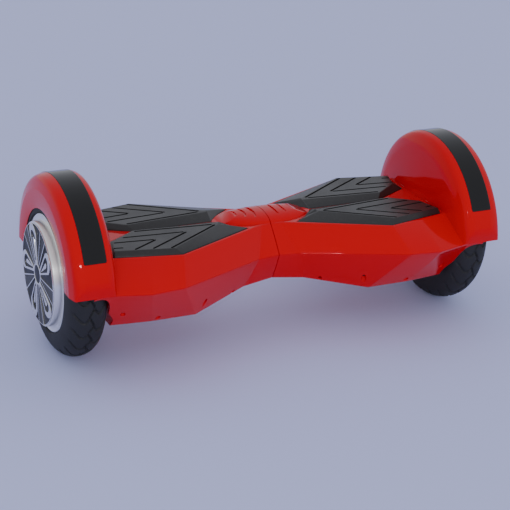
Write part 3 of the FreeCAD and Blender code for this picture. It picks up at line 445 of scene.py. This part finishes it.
def pair_up(piece, name, body="half"):
    """Puts a right-hand piece and its mirror twin on their bodies, each standing for its own node."""
    piece.name = "right_" + name + "_skin"
    twin = mirrored(piece, "left_" + name + "_skin")
    for side, half in (("right", piece), ("left", twin)):
        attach(half, side + "_" + body)
        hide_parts(side + "_" + name)
    return piece, twin


def node_group(name, inputs, outputs):
    """An empty shader group with named float, vector or colour sockets."""
    group = bpy.data.node_groups.new(name, "ShaderNodeTree")
    for label, kind, value in inputs:
        socket = group.interface.new_socket(label, in_out="INPUT", socket_type=kind)
        socket.default_value = value
    for label, kind in outputs:
        group.interface.new_socket(label, in_out="OUTPUT", socket_type=kind)
    return group, group.nodes.new("NodeGroupInput"), group.nodes.new("NodeGroupOutput")


def add(tree, kind, links=(), **settings):
    """A node with its settings, fed by (socket, source) pairs."""
    node = tree.nodes.new(kind)
    for key, value in settings.items():
        setattr(node, key, value)
    for socket, source in links:
        if isinstance(source, bpy.types.NodeSocket):
            tree.links.new(source, node.inputs[socket])
        else:
            node.inputs[socket].default_value = source
    return node


def moulding_group():
    """Fine waviness of a moulded or cast skin, with slow colour drift, handling marks and dust."""
    group, given, result = node_group(
        "moulded_skin",
        [("Grain Scale", "NodeSocketFloat", 900.0), ("Mark Scale", "NodeSocketFloat", 14.0),
         ("Dust", "NodeSocketFloat", 0.2)],
        [("Height", "NodeSocketFloat"), ("Marks", "NodeSocketFloat"), ("Drift", "NodeSocketFloat"),
         ("Dust", "NodeSocketFloat")])
    place = add(group, "ShaderNodeTexCoord").outputs["Object"]
    grain = add(group, "ShaderNodeTexNoise", [("Vector", place), ("Scale", given.outputs["Grain Scale"]),
                                              ("Detail", 3.0), ("Roughness", 0.55)])
    marks = add(group, "ShaderNodeTexNoise", [("Vector", place), ("Scale", given.outputs["Mark Scale"]),
                                              ("Detail", 6.0), ("Roughness", 0.7), ("Distortion", 0.6)])
    mark_range = add(group, "ShaderNodeMapRange", [("Value", marks.outputs["Fac"]), ("From Min", 0.42),
                                                   ("From Max", 0.75)])
    drift = add(group, "ShaderNodeTexNoise", [("Vector", place), ("Scale", 5.0), ("Detail", 2.0)])
    facing = add(group, "ShaderNodeSeparateXYZ",
                 [("Vector", add(group, "ShaderNodeNewGeometry").outputs["Normal"])]).outputs["Z"]
    upward = add(group, "ShaderNodeMapRange", [("Value", facing), ("From Min", 0.2), ("From Max", 1.0)])
    specks = add(group, "ShaderNodeTexNoise", [("Vector", place), ("Scale", 260.0), ("Detail", 8.0),
                                               ("Roughness", 0.8)])
    speck_range = add(group, "ShaderNodeMapRange", [("Value", specks.outputs["Fac"]), ("From Min", 0.5),
                                                    ("From Max", 0.85)])
    dust = add(group, "ShaderNodeMath", [(0, upward.outputs["Result"]), (1, speck_range.outputs["Result"])],
               operation="MULTIPLY")
    dust_amount = add(group, "ShaderNodeMath", [(0, dust.outputs[0]), (1, given.outputs["Dust"])],
                      operation="MULTIPLY")
    group.links.new(grain.outputs["Fac"], result.inputs["Height"])
    group.links.new(mark_range.outputs["Result"], result.inputs["Marks"])
    group.links.new(drift.outputs["Fac"], result.inputs["Drift"])
    group.links.new(dust_amount.outputs[0], result.inputs["Dust"])
    return group


def edge_group():
    """Where a piece's edges are rubbed: brighter along convex edges, broken up by noise."""
    group, given, result = node_group("rubbed_edges", [("Amount", "NodeSocketFloat", 0.3)],
                                      [("Mask", "NodeSocketFloat")])
    geometry = add(group, "ShaderNodeNewGeometry")
    sharp = add(group, "ShaderNodeMapRange", [("Value", geometry.outputs["Pointiness"]), ("From Min", 0.51),
                                              ("From Max", 0.56)])
    place = add(group, "ShaderNodeTexCoord").outputs["Object"]
    broken = add(group, "ShaderNodeTexNoise", [("Vector", place), ("Scale", 120.0), ("Detail", 5.0)])
    worn = add(group, "ShaderNodeMath", [(0, sharp.outputs["Result"]), (1, broken.outputs["Fac"])],
               operation="MULTIPLY")
    amount = add(group, "ShaderNodeMath", [(0, worn.outputs[0]), (1, given.outputs["Amount"])],
                 operation="MULTIPLY")
    group.links.new(amount.outputs[0], result.inputs["Mask"])
    return group


moulded_skin = moulding_group()
rubbed_edges = edge_group()


def finish(name, colour, roughness, drift=0.06, mark=0.08, bump=0.02, grain=900.0, dust=0.15, wear=0.2,
           worn_colour=None, bump_reach=0.0004, **sockets):
    """A material: a base colour that drifts a little, handling marks, dust, rubbed edges and a fine bump."""
    material = bpy.data.materials.new(name)
    material.use_nodes = True
    tree = material.node_tree
    surface = tree.nodes["Principled BSDF"]
    for label, value in sockets.items():
        surface.inputs[label.replace("_", " ")].default_value = value
    skin = add(tree, "ShaderNodeGroup", node_tree=moulded_skin)
    skin.inputs["Grain Scale"].default_value = grain
    skin.inputs["Dust"].default_value = dust
    edges = add(tree, "ShaderNodeGroup", node_tree=rubbed_edges)
    edges.inputs["Amount"].default_value = wear
    dark = [c * (1 - drift) for c in colour]
    light = [min(c * (1 + drift), 1) for c in colour]
    base = add(tree, "ShaderNodeMix", data_type="RGBA")
    base.inputs["A"].default_value = (*dark, 1)
    base.inputs["B"].default_value = (*light, 1)
    tree.links.new(skin.outputs["Drift"], base.inputs["Factor"])
    worn = add(tree, "ShaderNodeMix", data_type="RGBA")
    worn.inputs["B"].default_value = (*(worn_colour or [min(c * 1.6 + 0.02, 1) for c in colour]), 1)
    tree.links.new(edges.outputs["Mask"], worn.inputs["Factor"])
    tree.links.new(base.outputs["Result"], worn.inputs["A"])
    dusty = add(tree, "ShaderNodeMix", data_type="RGBA")
    dusty.inputs["B"].default_value = (0.30, 0.28, 0.26, 1)
    tree.links.new(skin.outputs["Dust"], dusty.inputs["Factor"])
    tree.links.new(worn.outputs["Result"], dusty.inputs["A"])
    tree.links.new(dusty.outputs["Result"], surface.inputs["Base Color"])
    rough = add(tree, "ShaderNodeMapRange")
    rough.inputs["To Min"].default_value = roughness
    rough.inputs["To Max"].default_value = min(roughness + mark, 1.0)
    tree.links.new(skin.outputs["Marks"], rough.inputs["Value"])
    tree.links.new(rough.outputs["Result"], surface.inputs["Roughness"])
    relief = add(tree, "ShaderNodeBump")
    relief.inputs["Strength"].default_value = bump
    relief.inputs["Distance"].default_value = bump_reach
    tree.links.new(skin.outputs["Height"], relief.inputs["Height"])
    tree.links.new(relief.outputs["Normal"], surface.inputs["Normal"])
    return material


def dress(piece, material, *more):
    """Gives a piece its material, or its materials in the order of its face indices."""
    piece.data.materials.clear()
    for each in (material, *more):
        piece.data.materials.append(each)
    return piece


def dress_nodes(material, *names):
    for name in names:
        dress(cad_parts[name], material)


def both(name):
    return ["left_" + name, "right_" + name]


red_gloss = finish("red_gloss", (0.56, 0.0, 0.005), 0.06, drift=0.03, mark=0.05, bump=0.01, grain=700.0,
                   dust=0.01, wear=0.06, worn_colour=(0.70, 0.03, 0.03), Specular_Tint=(1.0, 0.22, 0.26, 1.0),
                   Specular_IOR_Level=0.36)

upper = dress(smoothed(upper_shell_solid()), red_gloss)
for shell in pair_up(upper, "upper_shell"):
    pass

# ---- Lower shells and their screws --------------------------------------------------------------
# A red tub under each half, closed by a wall at the seam and hollowed round the tyre. It is pulled
# up to the deck moulding by self-tapping screws sunk in deep wells along its sloping sides.

toe_x = toe_knot[0]
well_radius = 3.0 * mm


def tyre_well():
    """The room the tub leaves round the tyre."""
    side = arch_x + shell_wall
    wheel_x = toe_x - 0.001
    rim = [(wheel_x - 0.023 + 0.023 * (1 - math.cos(t)), 0.088 + 0.020 * math.sin(t))
           for t in (math.pi / 2 * i / 12 for i in range(13))]
    return turned("tyre_well", [(side, 0), (side, 0.084)] + rim + [(0.31, 0.108), (0.31, 0)])


def screw_wells():
    wells = []
    for x, y, seat in screw_spots():
        outline = [(x + well_radius * math.cos(t), y + well_radius * math.sin(t))
                   for t in (math.tau * i / 24 for i in range(24))]
        wells.append(prism("well", outline, 0.0, seat))
    return wells


def screw_spots():
    """Middle and head height of each screw, those at the front with negative y."""
    front = [(0.058, -0.050, 0.086), (0.104, -0.076, 0.084), (0.162, -0.078, 0.080), (0.207, -0.085, 0.084)]
    return front + [(0.058, 0.050, 0.086), (0.140, 0.086, 0.084), (0.207, 0.085, 0.084)]


def lower_shell_solid():
    body = shell_block("lower_shell", belly_knots, crease_knots + [toe_knot], 0.003, 0.0004)
    edges = belly_knots[:4] + [at_arch(belly_knots)]
    creases = crease_knots[:4] + [at_arch(crease_knots)]
    cavity = cavity_block("cavity", edges, creases, lambda edge: edge[2] + shell_wall, shell_wall,
                          slope_wall, 0.008)
    return combine(body, [cavity, tyre_well()] + screw_wells(), "DIFFERENCE")


lower = dress(smoothed(lower_shell_solid()), red_gloss)
for shell in pair_up(lower, "lower_shell"):
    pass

plain_steel = finish("plain_steel", (0.55, 0.55, 0.56), 0.3, Metallic=1.0)
dress_nodes(plain_steel, *both("shell_screws"))

# ---- Fender lenses and light strips -------------------------------------------------------------
# A gloss black band let flush into the crown of each fender, with rounded ends, and the thin strip
# of lamps on a tape behind it.

lens_black = finish("lens_black", (0.004, 0.004, 0.004), 0.05, drift=0.1, mark=0.04, bump=0.005, dust=0.01,
                    wear=0.05, Specular_IOR_Level=0.35)
lens = lens_band("fender_lens", 0.0, fender_radius - lens_thickness, fender_radius)
dress(smoothed(lens), lens_black)
for band in pair_up(lens, "fender_lens"):
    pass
tape_white = finish("tape_white", (0.75, 0.74, 0.7), 0.5)
dress_nodes(tape_white, *both("light_strip"))

# ---- Waist covers -------------------------------------------------------------------------------
# A boat-shaped red cap over the pivot on each half: a soft dome with a flat sloping nose, its back
# cut by three crescent vents.

cover_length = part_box("right_waist_cover")[1].x
cover_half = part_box("right_waist_cover")[1].y
cover_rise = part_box("right_waist_cover")[1].z - deck_z
cover_sink = 0.8 * mm
vent_depth = 2.4 * mm


def dome(s):
    """The cover's height across, as a share of its middle: s runs from -1 to 1."""
    return (1 - abs(s) ** 2.3) ** 0.62


def cover_solid():
    rings = []
    steps = 40
    for i in range(steps + 1):
        x = seam_x + (cover_length - 0.0002 - seam_x) * math.sin(math.pi / 2 * i / steps)
        reach = math.sqrt(max(1 - (x / cover_length) ** 2, 0))
        ring = []
        for k in range(49):
            s = -math.cos(math.pi * k / 48)
            height = (cover_rise + cover_sink) * reach ** 0.35 * dome(s)
            ring.append((x, cover_half * reach * s, deck_z - cover_sink + height))
        rings.append(ring)
    cover = skinned("waist_cover", rings)
    nose = bmesh.new()
    for x, z in ((0.036, cover_rise - 0.0004), (0.066, -0.0030), (0.066, 0.03), (0.036, 0.03)):
        nose.verts.new((x, -0.05, deck_z + z))
    nose.verts.ensure_lookup_table()
    face = nose.faces.new(nose.verts)
    drawn = bmesh.ops.extrude_face_region(nose, geom=[face])
    for item in drawn["geom"]:
        if isinstance(item, bmesh.types.BMVert):
            item.co.y = 0.05
    bmesh.ops.recalc_face_normals(nose, faces=nose.faces)
    vents = [vent_solid(i) for i in range(3)]
    return combine(cover, [as_object("nose", nose)] + vents, "DIFFERENCE")


def vent_solid(i):
    """A crescent slot: wide at the crown, drawn to a point at both ends."""
    middle = 0.0135 + 0.0115 * i
    half = 0.0200 - 0.0034 * i
    rings = []
    for k in range(17):
        s = -1 + 2 * k / 16
        y = half * s
        arc = 0.0022 * s * s
        width = 0.0019 * (1 - s * s) ** 0.7 + 0.00008
        floor_z = deck_z + (cover_rise + cover_sink) * dome(y / cover_half) - vent_depth * (1 - s ** 4)
        row = [(middle - width + arc, floor_z), (middle + width + arc, floor_z),
               (middle + width * 1.3 + arc, deck_z + 0.02), (middle - width * 1.3 + arc, deck_z + 0.02)]
        rings.append([(x, y, z) for x, z in row])
    return skinned("vent", rings)


cover = dress(smoothed(cover_solid()), red_gloss)
for cap in pair_up(cover, "waist_cover"):
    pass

# ---- Foot pads ----------------------------------------------------------------------------------
# Four moulded rubber pads with wide bevels, each sunk in its seat. Chevron grooves are cut in the
# top for grip.

groove_half = 1.4 * mm
groove_depth = 1.9 * mm
chevrons = [((0.075, 0.022), (0.166, 0.013)), ((0.072, 0.025), (0.144, 0.074)),
            ((0.115, 0.033), (0.185, 0.027)), ((0.112, 0.035), (0.164, 0.069)),
            ((0.156, 0.044), (0.200, 0.039)), ((0.154, 0.046), (0.184, 0.065)),
            ((0.197, 0.056), (0.208, 0.054))]
pad_rise = 6.0 * mm
pad_slab_base = pad_base[:6] + pad_base[7:]
pad_slab_top = [(0.066, 0.024), (0.1415, 0.077), (0.2091, 0.063), (0.1996, 0.033), (0.1686, 0.0095),
                (0.064, 0.0186), (0.0648, 0.0214)]


def groove(start, end):
    a, b = Vector(start), Vector(end)
    along = (b - a).normalized()
    across = Vector((-along.y, along.x)) * groove_half
    outline = []
    for centre, sign in ((a, -1), (b, 1)):
        for i in range(9):
            t = -math.pi / 2 + math.pi * i / 8
            outward = along * (groove_half * math.cos(t)) + across * math.sin(t)
            outline.append(centre + outward * sign)
    top_z = deck_z + pad_rise
    return prism("groove", [(p.x, -p.y) for p in outline], top_z - groove_depth, top_z + 0.002)


def pad_solid():
    low = [Vector((x, -y, deck_z - 0.0025)) for x, y in pad_slab_base]
    edge = [Vector((x, -y, deck_z + 0.0004)) for x, y in pad_slab_base]
    top = [Vector((x, -y, deck_z + pad_rise)) for x, y in pad_slab_top]
    pad = skinned("pad", [low, edge, top])
    rounding = pad.modifiers.new("rounding", "BEVEL")
    rounding.width = 0.9 * mm
    rounding.segments = 4
    rounding.limit_method = "ANGLE"
    rounding.angle_limit = math.radians(12)
    combine(pad, [], "DIFFERENCE")  # fixes the rounding in the mesh before the grooves are cut
    for start, end in chevrons:
        combine(pad, [groove(start, end)], "DIFFERENCE")
    return pad


pad_rubber = finish("pad_rubber", (0.012, 0.0115, 0.0115), 0.33, drift=0.15, mark=0.12, bump=0.25,
                    grain=1500.0, dust=0.10, wear=0.15, bump_reach=0.0002, Specular_IOR_Level=0.5)
front_pad = dress(smoothed(pad_solid(), 20), pad_rubber)
front_pad.name = "right_front_pad_rubber"
rear_pad = mirrored(front_pad, "right_rear_pad_rubber", (1, -1, 1))
for end, right_pad in (("front", front_pad), ("rear", rear_pad)):
    left_pad = mirrored(right_pad, f"left_{end}_pad_rubber")
    for side, pad in (("right", right_pad), ("left", left_pad)):
        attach(pad, f"{side}_{end}_pad")
        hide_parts(f"{side}_{end}_pad")

# ---- Tyres --------------------------------------------------------------------------------------
# Air-filled eight-inch tyres with a rounded crown. The tread is a pattern of S-shaped grooves that
# sweep from each shoulder over the crown; the sidewalls carry plain moulded rings.

tyre_low, tyre_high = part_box("right_tyre")
tyre_mid = (tyre_low.x + tyre_high.x) / 2
tyre_half = (tyre_high.x - tyre_low.x) / 2
tyre_radius = tyre_high.z - axle.z
tyre_crown = 28.0 * mm
bead_radius = 62.0 * mm
bead_half = tyre_half - 3.8 * mm
tread_count = 26
tread_depth = 1.9 * mm


def tread_depth_at(s, turn):
    """Depth of the grooves at s, from -1 to 1 over the crown, and at a turn round the wheel."""
    phase = turn * tread_count / math.tau
    cut = 0.0
    for side, shift in ((1, 0.0), (-1, 0.5)):
        if s * side > -0.12:
            bend = 0.55 * math.sin(s * side * 3.4) + 0.12 * math.sin(s * side * 7.0)
            away = abs((phase + shift + bend) % 1.0 - 0.5)
            width = 0.075 + 0.05 * max(s * side, 0)
            cut = max(cut, 1 - (away / width) ** 2)
    wave = 0.10 * math.sin(phase * math.tau)
    cut = max(cut, 1 - ((s - wave) / 0.055) ** 2)
    edge = min(max((0.86 - abs(s)) / 0.10, 0.0), 1.0)
    return tread_depth * min(max(cut * 1.8, 0.0), 1.0) * edge


def tyre_solid():
    steps = 780
    crown_steps = 64
    widest = tyre_radius - tyre_crown
    hollow_half = tyre_half - 7.0 * mm
    co = []
    for k in range(steps):
        turn = math.tau * k / steps
        profile = [(-tyre_half * 0.995, widest - 0.0012)]
        for i in range(crown_steps + 1):
            angle = math.pi * (1 - i / crown_steps)
            s = math.cos(angle)
            depth = tread_depth_at(s, turn)
            flat = math.sin(angle) ** 0.86 if math.sin(angle) > 0 else 0.0
            profile.append((tyre_half * s * (1 - depth / 0.06), widest + (tyre_crown - depth) * flat))
        profile += [(tyre_half * 0.995, widest - 0.0012), (bead_half, widest - 0.0032),
                    (bead_half, bead_radius), (hollow_half, bead_radius)]
        profile += [(hollow_half, widest), (hollow_half * 0.7, widest + 0.013), (0, widest + 0.018),
                    (-hollow_half * 0.7, widest + 0.013), (-hollow_half, widest),
                    (-hollow_half, bead_radius), (-bead_half, bead_radius), (-bead_half, widest - 0.0032)]
        co += [(tyre_mid + x, -r * math.cos(turn), axle.z + r * math.sin(turn)) for x, r in profile]
    count = len(profile)
    faces = []
    for k in range(steps):
        near, far = k * count, (k + 1) % steps * count
        for i in range(count):
            j = (i + 1) % count
            faces.append((near + i, near + j, far + j, far + i))
    mesh = bpy.data.meshes.new("tyre")
    mesh.from_pydata(co, [], faces)
    tyre = bpy.data.objects.new("tyre", mesh)
    bpy.context.scene.collection.objects.link(tyre)
    shape = bmesh.new()
    shape.from_mesh(mesh)
    bmesh.ops.recalc_face_normals(shape, faces=shape.faces)
    shape.to_mesh(mesh)
    shape.free()
    return tyre


tyre_rubber = finish("tyre_rubber", (0.013, 0.013, 0.014), 0.62, drift=0.2, mark=0.15, bump=0.3, grain=1100.0,
                     dust=0.3, wear=0.15, bump_reach=0.0002)
tyre = dress(smoothed(tyre_solid(), 40), tyre_rubber)
for wheel in pair_up(tyre, "tyre", "wheel"):
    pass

# ---- Wheel hubs and their covers ----------------------------------------------------------------
# A cast aluminium drum with a turned and polished flange and barrel outside the tyre, closed inboard
# by a plain cover plate held with eight screws.

hub_low, hub_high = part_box("right_hub")
hub_face_x = hub_high.x
flange_radius = hub_high.y
barrel_radius = 61.0 * mm
flange_x = tyre_mid + bead_half
drum_inner = bead_radius - 5.0 * mm


def hub_solid():
    outline = [(hub_low.x, drum_inner), (hub_low.x, bead_radius), (flange_x, bead_radius)]
    outline += [(flange_x, flange_radius - 0.0004), (flange_x + 0.0004, flange_radius),
                (flange_x + 0.0017, flange_radius), (flange_x + 0.0023, flange_radius - 0.0006),
                (flange_x + 0.0024, flange_radius - 0.0016), (flange_x + 0.0014, flange_radius - 0.0032),
                (flange_x + 0.0013, barrel_radius + 0.0012), (flange_x + 0.0018, barrel_radius + 0.0003),
                (flange_x + 0.0030, barrel_radius)]
    outline += [(hub_face_x - 0.0012, barrel_radius), (hub_face_x - 0.0004, barrel_radius - 0.0003),
                (hub_face_x, barrel_radius - 0.0011), (hub_face_x, 0.0), (hub_face_x - 0.004, 0.0),
                (hub_face_x - 0.004, drum_inner - 0.003), (flange_x, drum_inner - 0.003),
                (flange_x, drum_inner)]
    return turned("hub", outline, steps=200)


polished_aluminium = finish("polished_aluminium", (0.93, 0.92, 0.88), 0.30, drift=0.03, mark=0.1, bump=0.02,
                            grain=500.0, dust=0.1, wear=0.1, Metallic=1.0)
hub = dress(smoothed(hub_solid(), 35), polished_aluminium)
for drum in pair_up(hub, "hub", "wheel"):
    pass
cast_aluminium = finish("cast_aluminium", (0.50, 0.50, 0.50), 0.45, drift=0.08, mark=0.2, bump=0.3,
                        Metallic=1.0)
dress_nodes(cast_aluminium, *both("hub_cover"), *both("frame"), *both("axle_clamp"), "heat_sink")
dress_nodes(plain_steel, *both("cover_screws"), *both("wheel_bearings"))

# ---- Wheel trims --------------------------------------------------------------------------------
# A moulded disc glued to the hub's face. Five drop-shaped loops and the pairs of slim ribs between
# them stand bright over black pockets and sunk dark wedges, round a small black cap in a bright ring.

trim_low, trim_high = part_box("right_wheel_trim")
trim_radius = 59.3 * mm
trim_floor_x = trim_low.x + 0.0006
trim_count = 5
trim_turn = math.radians(-12)
cap_radius = 10.6 * mm
ring_inner, ring_outer = 10.8 * mm, 12.6 * mm
trim_edge = 0.4 * mm
rib_drop = 0.2 * mm
rim_drop = 0.6 * mm


def at_face(outline, turn, low, high, bevel=0.0003):
    """An (across, out) outline on the wheel's face, turned into place and raised, with a small chamfer."""
    c, s = math.cos(turn), math.sin(turn)
    centre = sum((Vector(p) for p in outline), Vector((0, 0))) / len(outline)
    rings = []
    for x, shrink in ((low, 0.0), (high - bevel, 0.0), (high, bevel)):
        ring = []
        for u, v in outline:
            point = Vector((u, v))
            if shrink:
                point = centre + (point - centre) * (1 - shrink / max((point - centre).length, 0.001))
            y, z = point.x * c - point.y * s, point.x * s + point.y * c
            ring.append((x, y, axle.z + z))
        rings.append(ring)
    return skinned("relief", rings)


def drop(inner, inner_half, outer, outer_half, lean=0.0):
    """A drop outline from a narrow inner end to a round outer end, leaning to one side as it goes out."""
    outline = []
    for i in range(25):
        t = -math.pi / 2 + math.pi * i / 24
        outline.append((outer_half * math.sin(-t), outer + outer_half * math.cos(t)))
    for i in range(9):
        t = -math.pi / 2 + math.pi * i / 8
        outline.append((inner_half * math.sin(t), inner - inner_half * math.cos(t)))
    return [(u + lean * ((v - inner) / (outer - inner)) ** 2, v) for u, v in outline]


def trim_relief():
    """The bright raised lines of the trim: five loops with broad outer ends, slim ribs and a small ring."""
    rim_x = trim_high.x - rim_drop
    relief = turned("relief", [(trim_low.x, trim_radius - 0.0009), (rim_x, trim_radius - 0.0009),
                               (rim_x, trim_radius - 0.0002), (rim_x - 0.0002, trim_radius),
                               (trim_low.x, trim_radius)], steps=160)
    ring_x = trim_high.x - trim_edge
    ring = turned("ring", [(trim_low.x, ring_inner), (ring_x, ring_inner),
                           (trim_high.x, ring_inner + trim_edge), (trim_high.x, ring_outer - trim_edge),
                           (ring_x, ring_outer), (trim_low.x, ring_outer)], steps=64)
    solids = [ring]
    for k in range(trim_count):
        turn = trim_turn + math.tau * k / trim_count
        loop = at_face(drop(0.0135, 0.0030, 0.0465, 0.0120, 0.004), turn, trim_low.x, trim_high.x)
        hole = at_face(drop(0.0175, 0.0016, 0.0425, 0.0082, 0.0034), turn,
                       trim_low.x - 0.001, trim_high.x + 0.001)
        combine(loop, [hole], "DIFFERENCE")
        solids.append(loop)
        tongue = at_face(drop(0.0200, 0.0005, 0.0400, 0.0028, 0.0032), turn, trim_low.x,
                         trim_high.x - rib_drop)
        solids.append(tongue)
        middle = turn + math.pi / trim_count
        for side in (-1, 1):
            rib = [(side * 0.0006, 0.0115), (side * 0.0017, 0.0115),
                   (side * 0.0098, 0.0588), (side * 0.0084, 0.0588)]
            solids.append(at_face(rib[::side], middle, trim_low.x, trim_high.x - rib_drop))
    return combine(relief, solids, "UNION")


def trim_wedge(k):
    """The dark wedge between two loops, sunk a little below the ribs beside it."""
    outline = [(-0.0004, 0.0125), (0.0004, 0.0125), (0.0082, 0.0580), (-0.0082, 0.0580)]
    turn = trim_turn + math.tau * (k + 0.5) / trim_count
    return at_face(outline, turn, trim_low.x, trim_high.x - 0.0009, 0.0001)


spoke_bright = finish("spoke_bright", (0.78, 0.77, 0.74), 0.2, drift=0.04, mark=0.12, bump=0.03, dust=0.1,
                      wear=0.1, Metallic=1.0)
pocket_black = finish("pocket_black", (0.005, 0.005, 0.005), 0.4, drift=0.1, mark=0.15, bump=0.05, dust=0.03,
                      Specular_IOR_Level=0.25)
wedge_grey = finish("wedge_grey", (0.028, 0.028, 0.028), 0.45, drift=0.08, mark=0.15, bump=0.05, dust=0.05)
relief = dress(smoothed(trim_relief()), spoke_bright)
for disc in pair_up(relief, "wheel_trim", "wheel"):
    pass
floor_disc = turned("pockets", [(trim_low.x, 0.0), (trim_low.x, trim_radius - 0.0002),
                                (trim_floor_x, trim_radius - 0.0008), (trim_floor_x, cap_radius + 0.0006),
                                (trim_high.x - 0.0006, cap_radius), (trim_high.x - 0.0002, 0.0090),
                                (trim_high.x, 0.0040), (trim_high.x, 0.0)], steps=96)
floor_disc.name = "right_trim_pockets"
dress(smoothed(floor_disc), pocket_black)
floor_twin = mirrored(floor_disc, "left_trim_pockets")
wedges = trim_wedge(0)
combine(wedges, [trim_wedge(k) for k in range(1, trim_count)], "UNION")
wedges.name = "right_trim_wedges"
dress(wedges, wedge_grey)
wedge_twin = mirrored(wedges, "left_trim_wedges")
for side, discs in (("right", (floor_disc, wedges)), ("left", (floor_twin, wedge_twin))):
    for disc in discs:
        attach(disc, side + "_wheel")

# ---- Hub motors ---------------------------------------------------------------------------------
# Inside each drum: a laminated steel core on the axle, a copper coil round each tooth, and nickel
# plated magnets glued round the drum. The black-oxided steel is shared with the pivot's fittings.

motor_iron = finish("motor_iron", (0.16, 0.16, 0.17), 0.4, Metallic=1.0)
copper_wire = finish("copper_wire", (0.62, 0.20, 0.07), 0.3, bump=0.4, grain=2200.0, Metallic=1.0)
magnet_nickel = finish("magnet_nickel", (0.60, 0.58, 0.53), 0.2, Metallic=1.0)
dress_nodes(motor_iron, *both("stator"))
dress_nodes(copper_wire, *both("coils"))
dress_nodes(magnet_nickel, *both("magnets"))
dark_steel = finish("dark_steel", (0.20, 0.20, 0.21), 0.35, Metallic=1.0)
dress_nodes(dark_steel, *both("axle"), *both("clamp_bolts"), "pivot_tube", "pivot_circlip", "stop_pin")

# ---- Twist pivot --------------------------------------------------------------------------------
# The steel tube that joins the halves turns in two sintered bronze bushes, and the sleeved cable
# bundle runs through it.

bronze = finish("bronze", (0.42, 0.24, 0.09), 0.4, bump=0.2, Metallic=1.0)
dress_nodes(bronze, "pivot_bushes")
cable_sheath = finish("cable_sheath", (0.02, 0.02, 0.02), 0.55, bump=0.4, grain=700.0)
dress_nodes(cable_sheath, "pivot_harness")

# ---- Electrics ----------------------------------------------------------------------------------
# The wrapped battery lies in the left half and the controller board, on a finned sink, in the right
# half. Each half has a sensor board of its own.

battery_wrap = finish("battery_wrap", (0.03, 0.09, 0.30), 0.3)
dress_nodes(battery_wrap, "battery_case", "battery_cells")
circuit_board = finish("circuit_board", (0.015, 0.10, 0.035), 0.35, bump=0.2)
dress_nodes(circuit_board, "main_board", *both("sensor_board"))

# ---- Charging socket and power button -----------------------------------------------------------
# On the rear sides are a round black socket under a rubber cap on a small hinge, and a black push
# button in its bezel.

port_black = finish("port_black", (0.02, 0.02, 0.021), 0.35, bump=0.1)
dress_nodes(port_black, "charge_socket", "button_bezel")
cap_rubber = finish("cap_rubber", (0.025, 0.025, 0.026), 0.6, bump=0.3)
dress_nodes(cap_rubber, "charge_cap")
button_black = finish("button_black", (0.03, 0.03, 0.032), 0.28)
dress_nodes(button_black, "power_button")
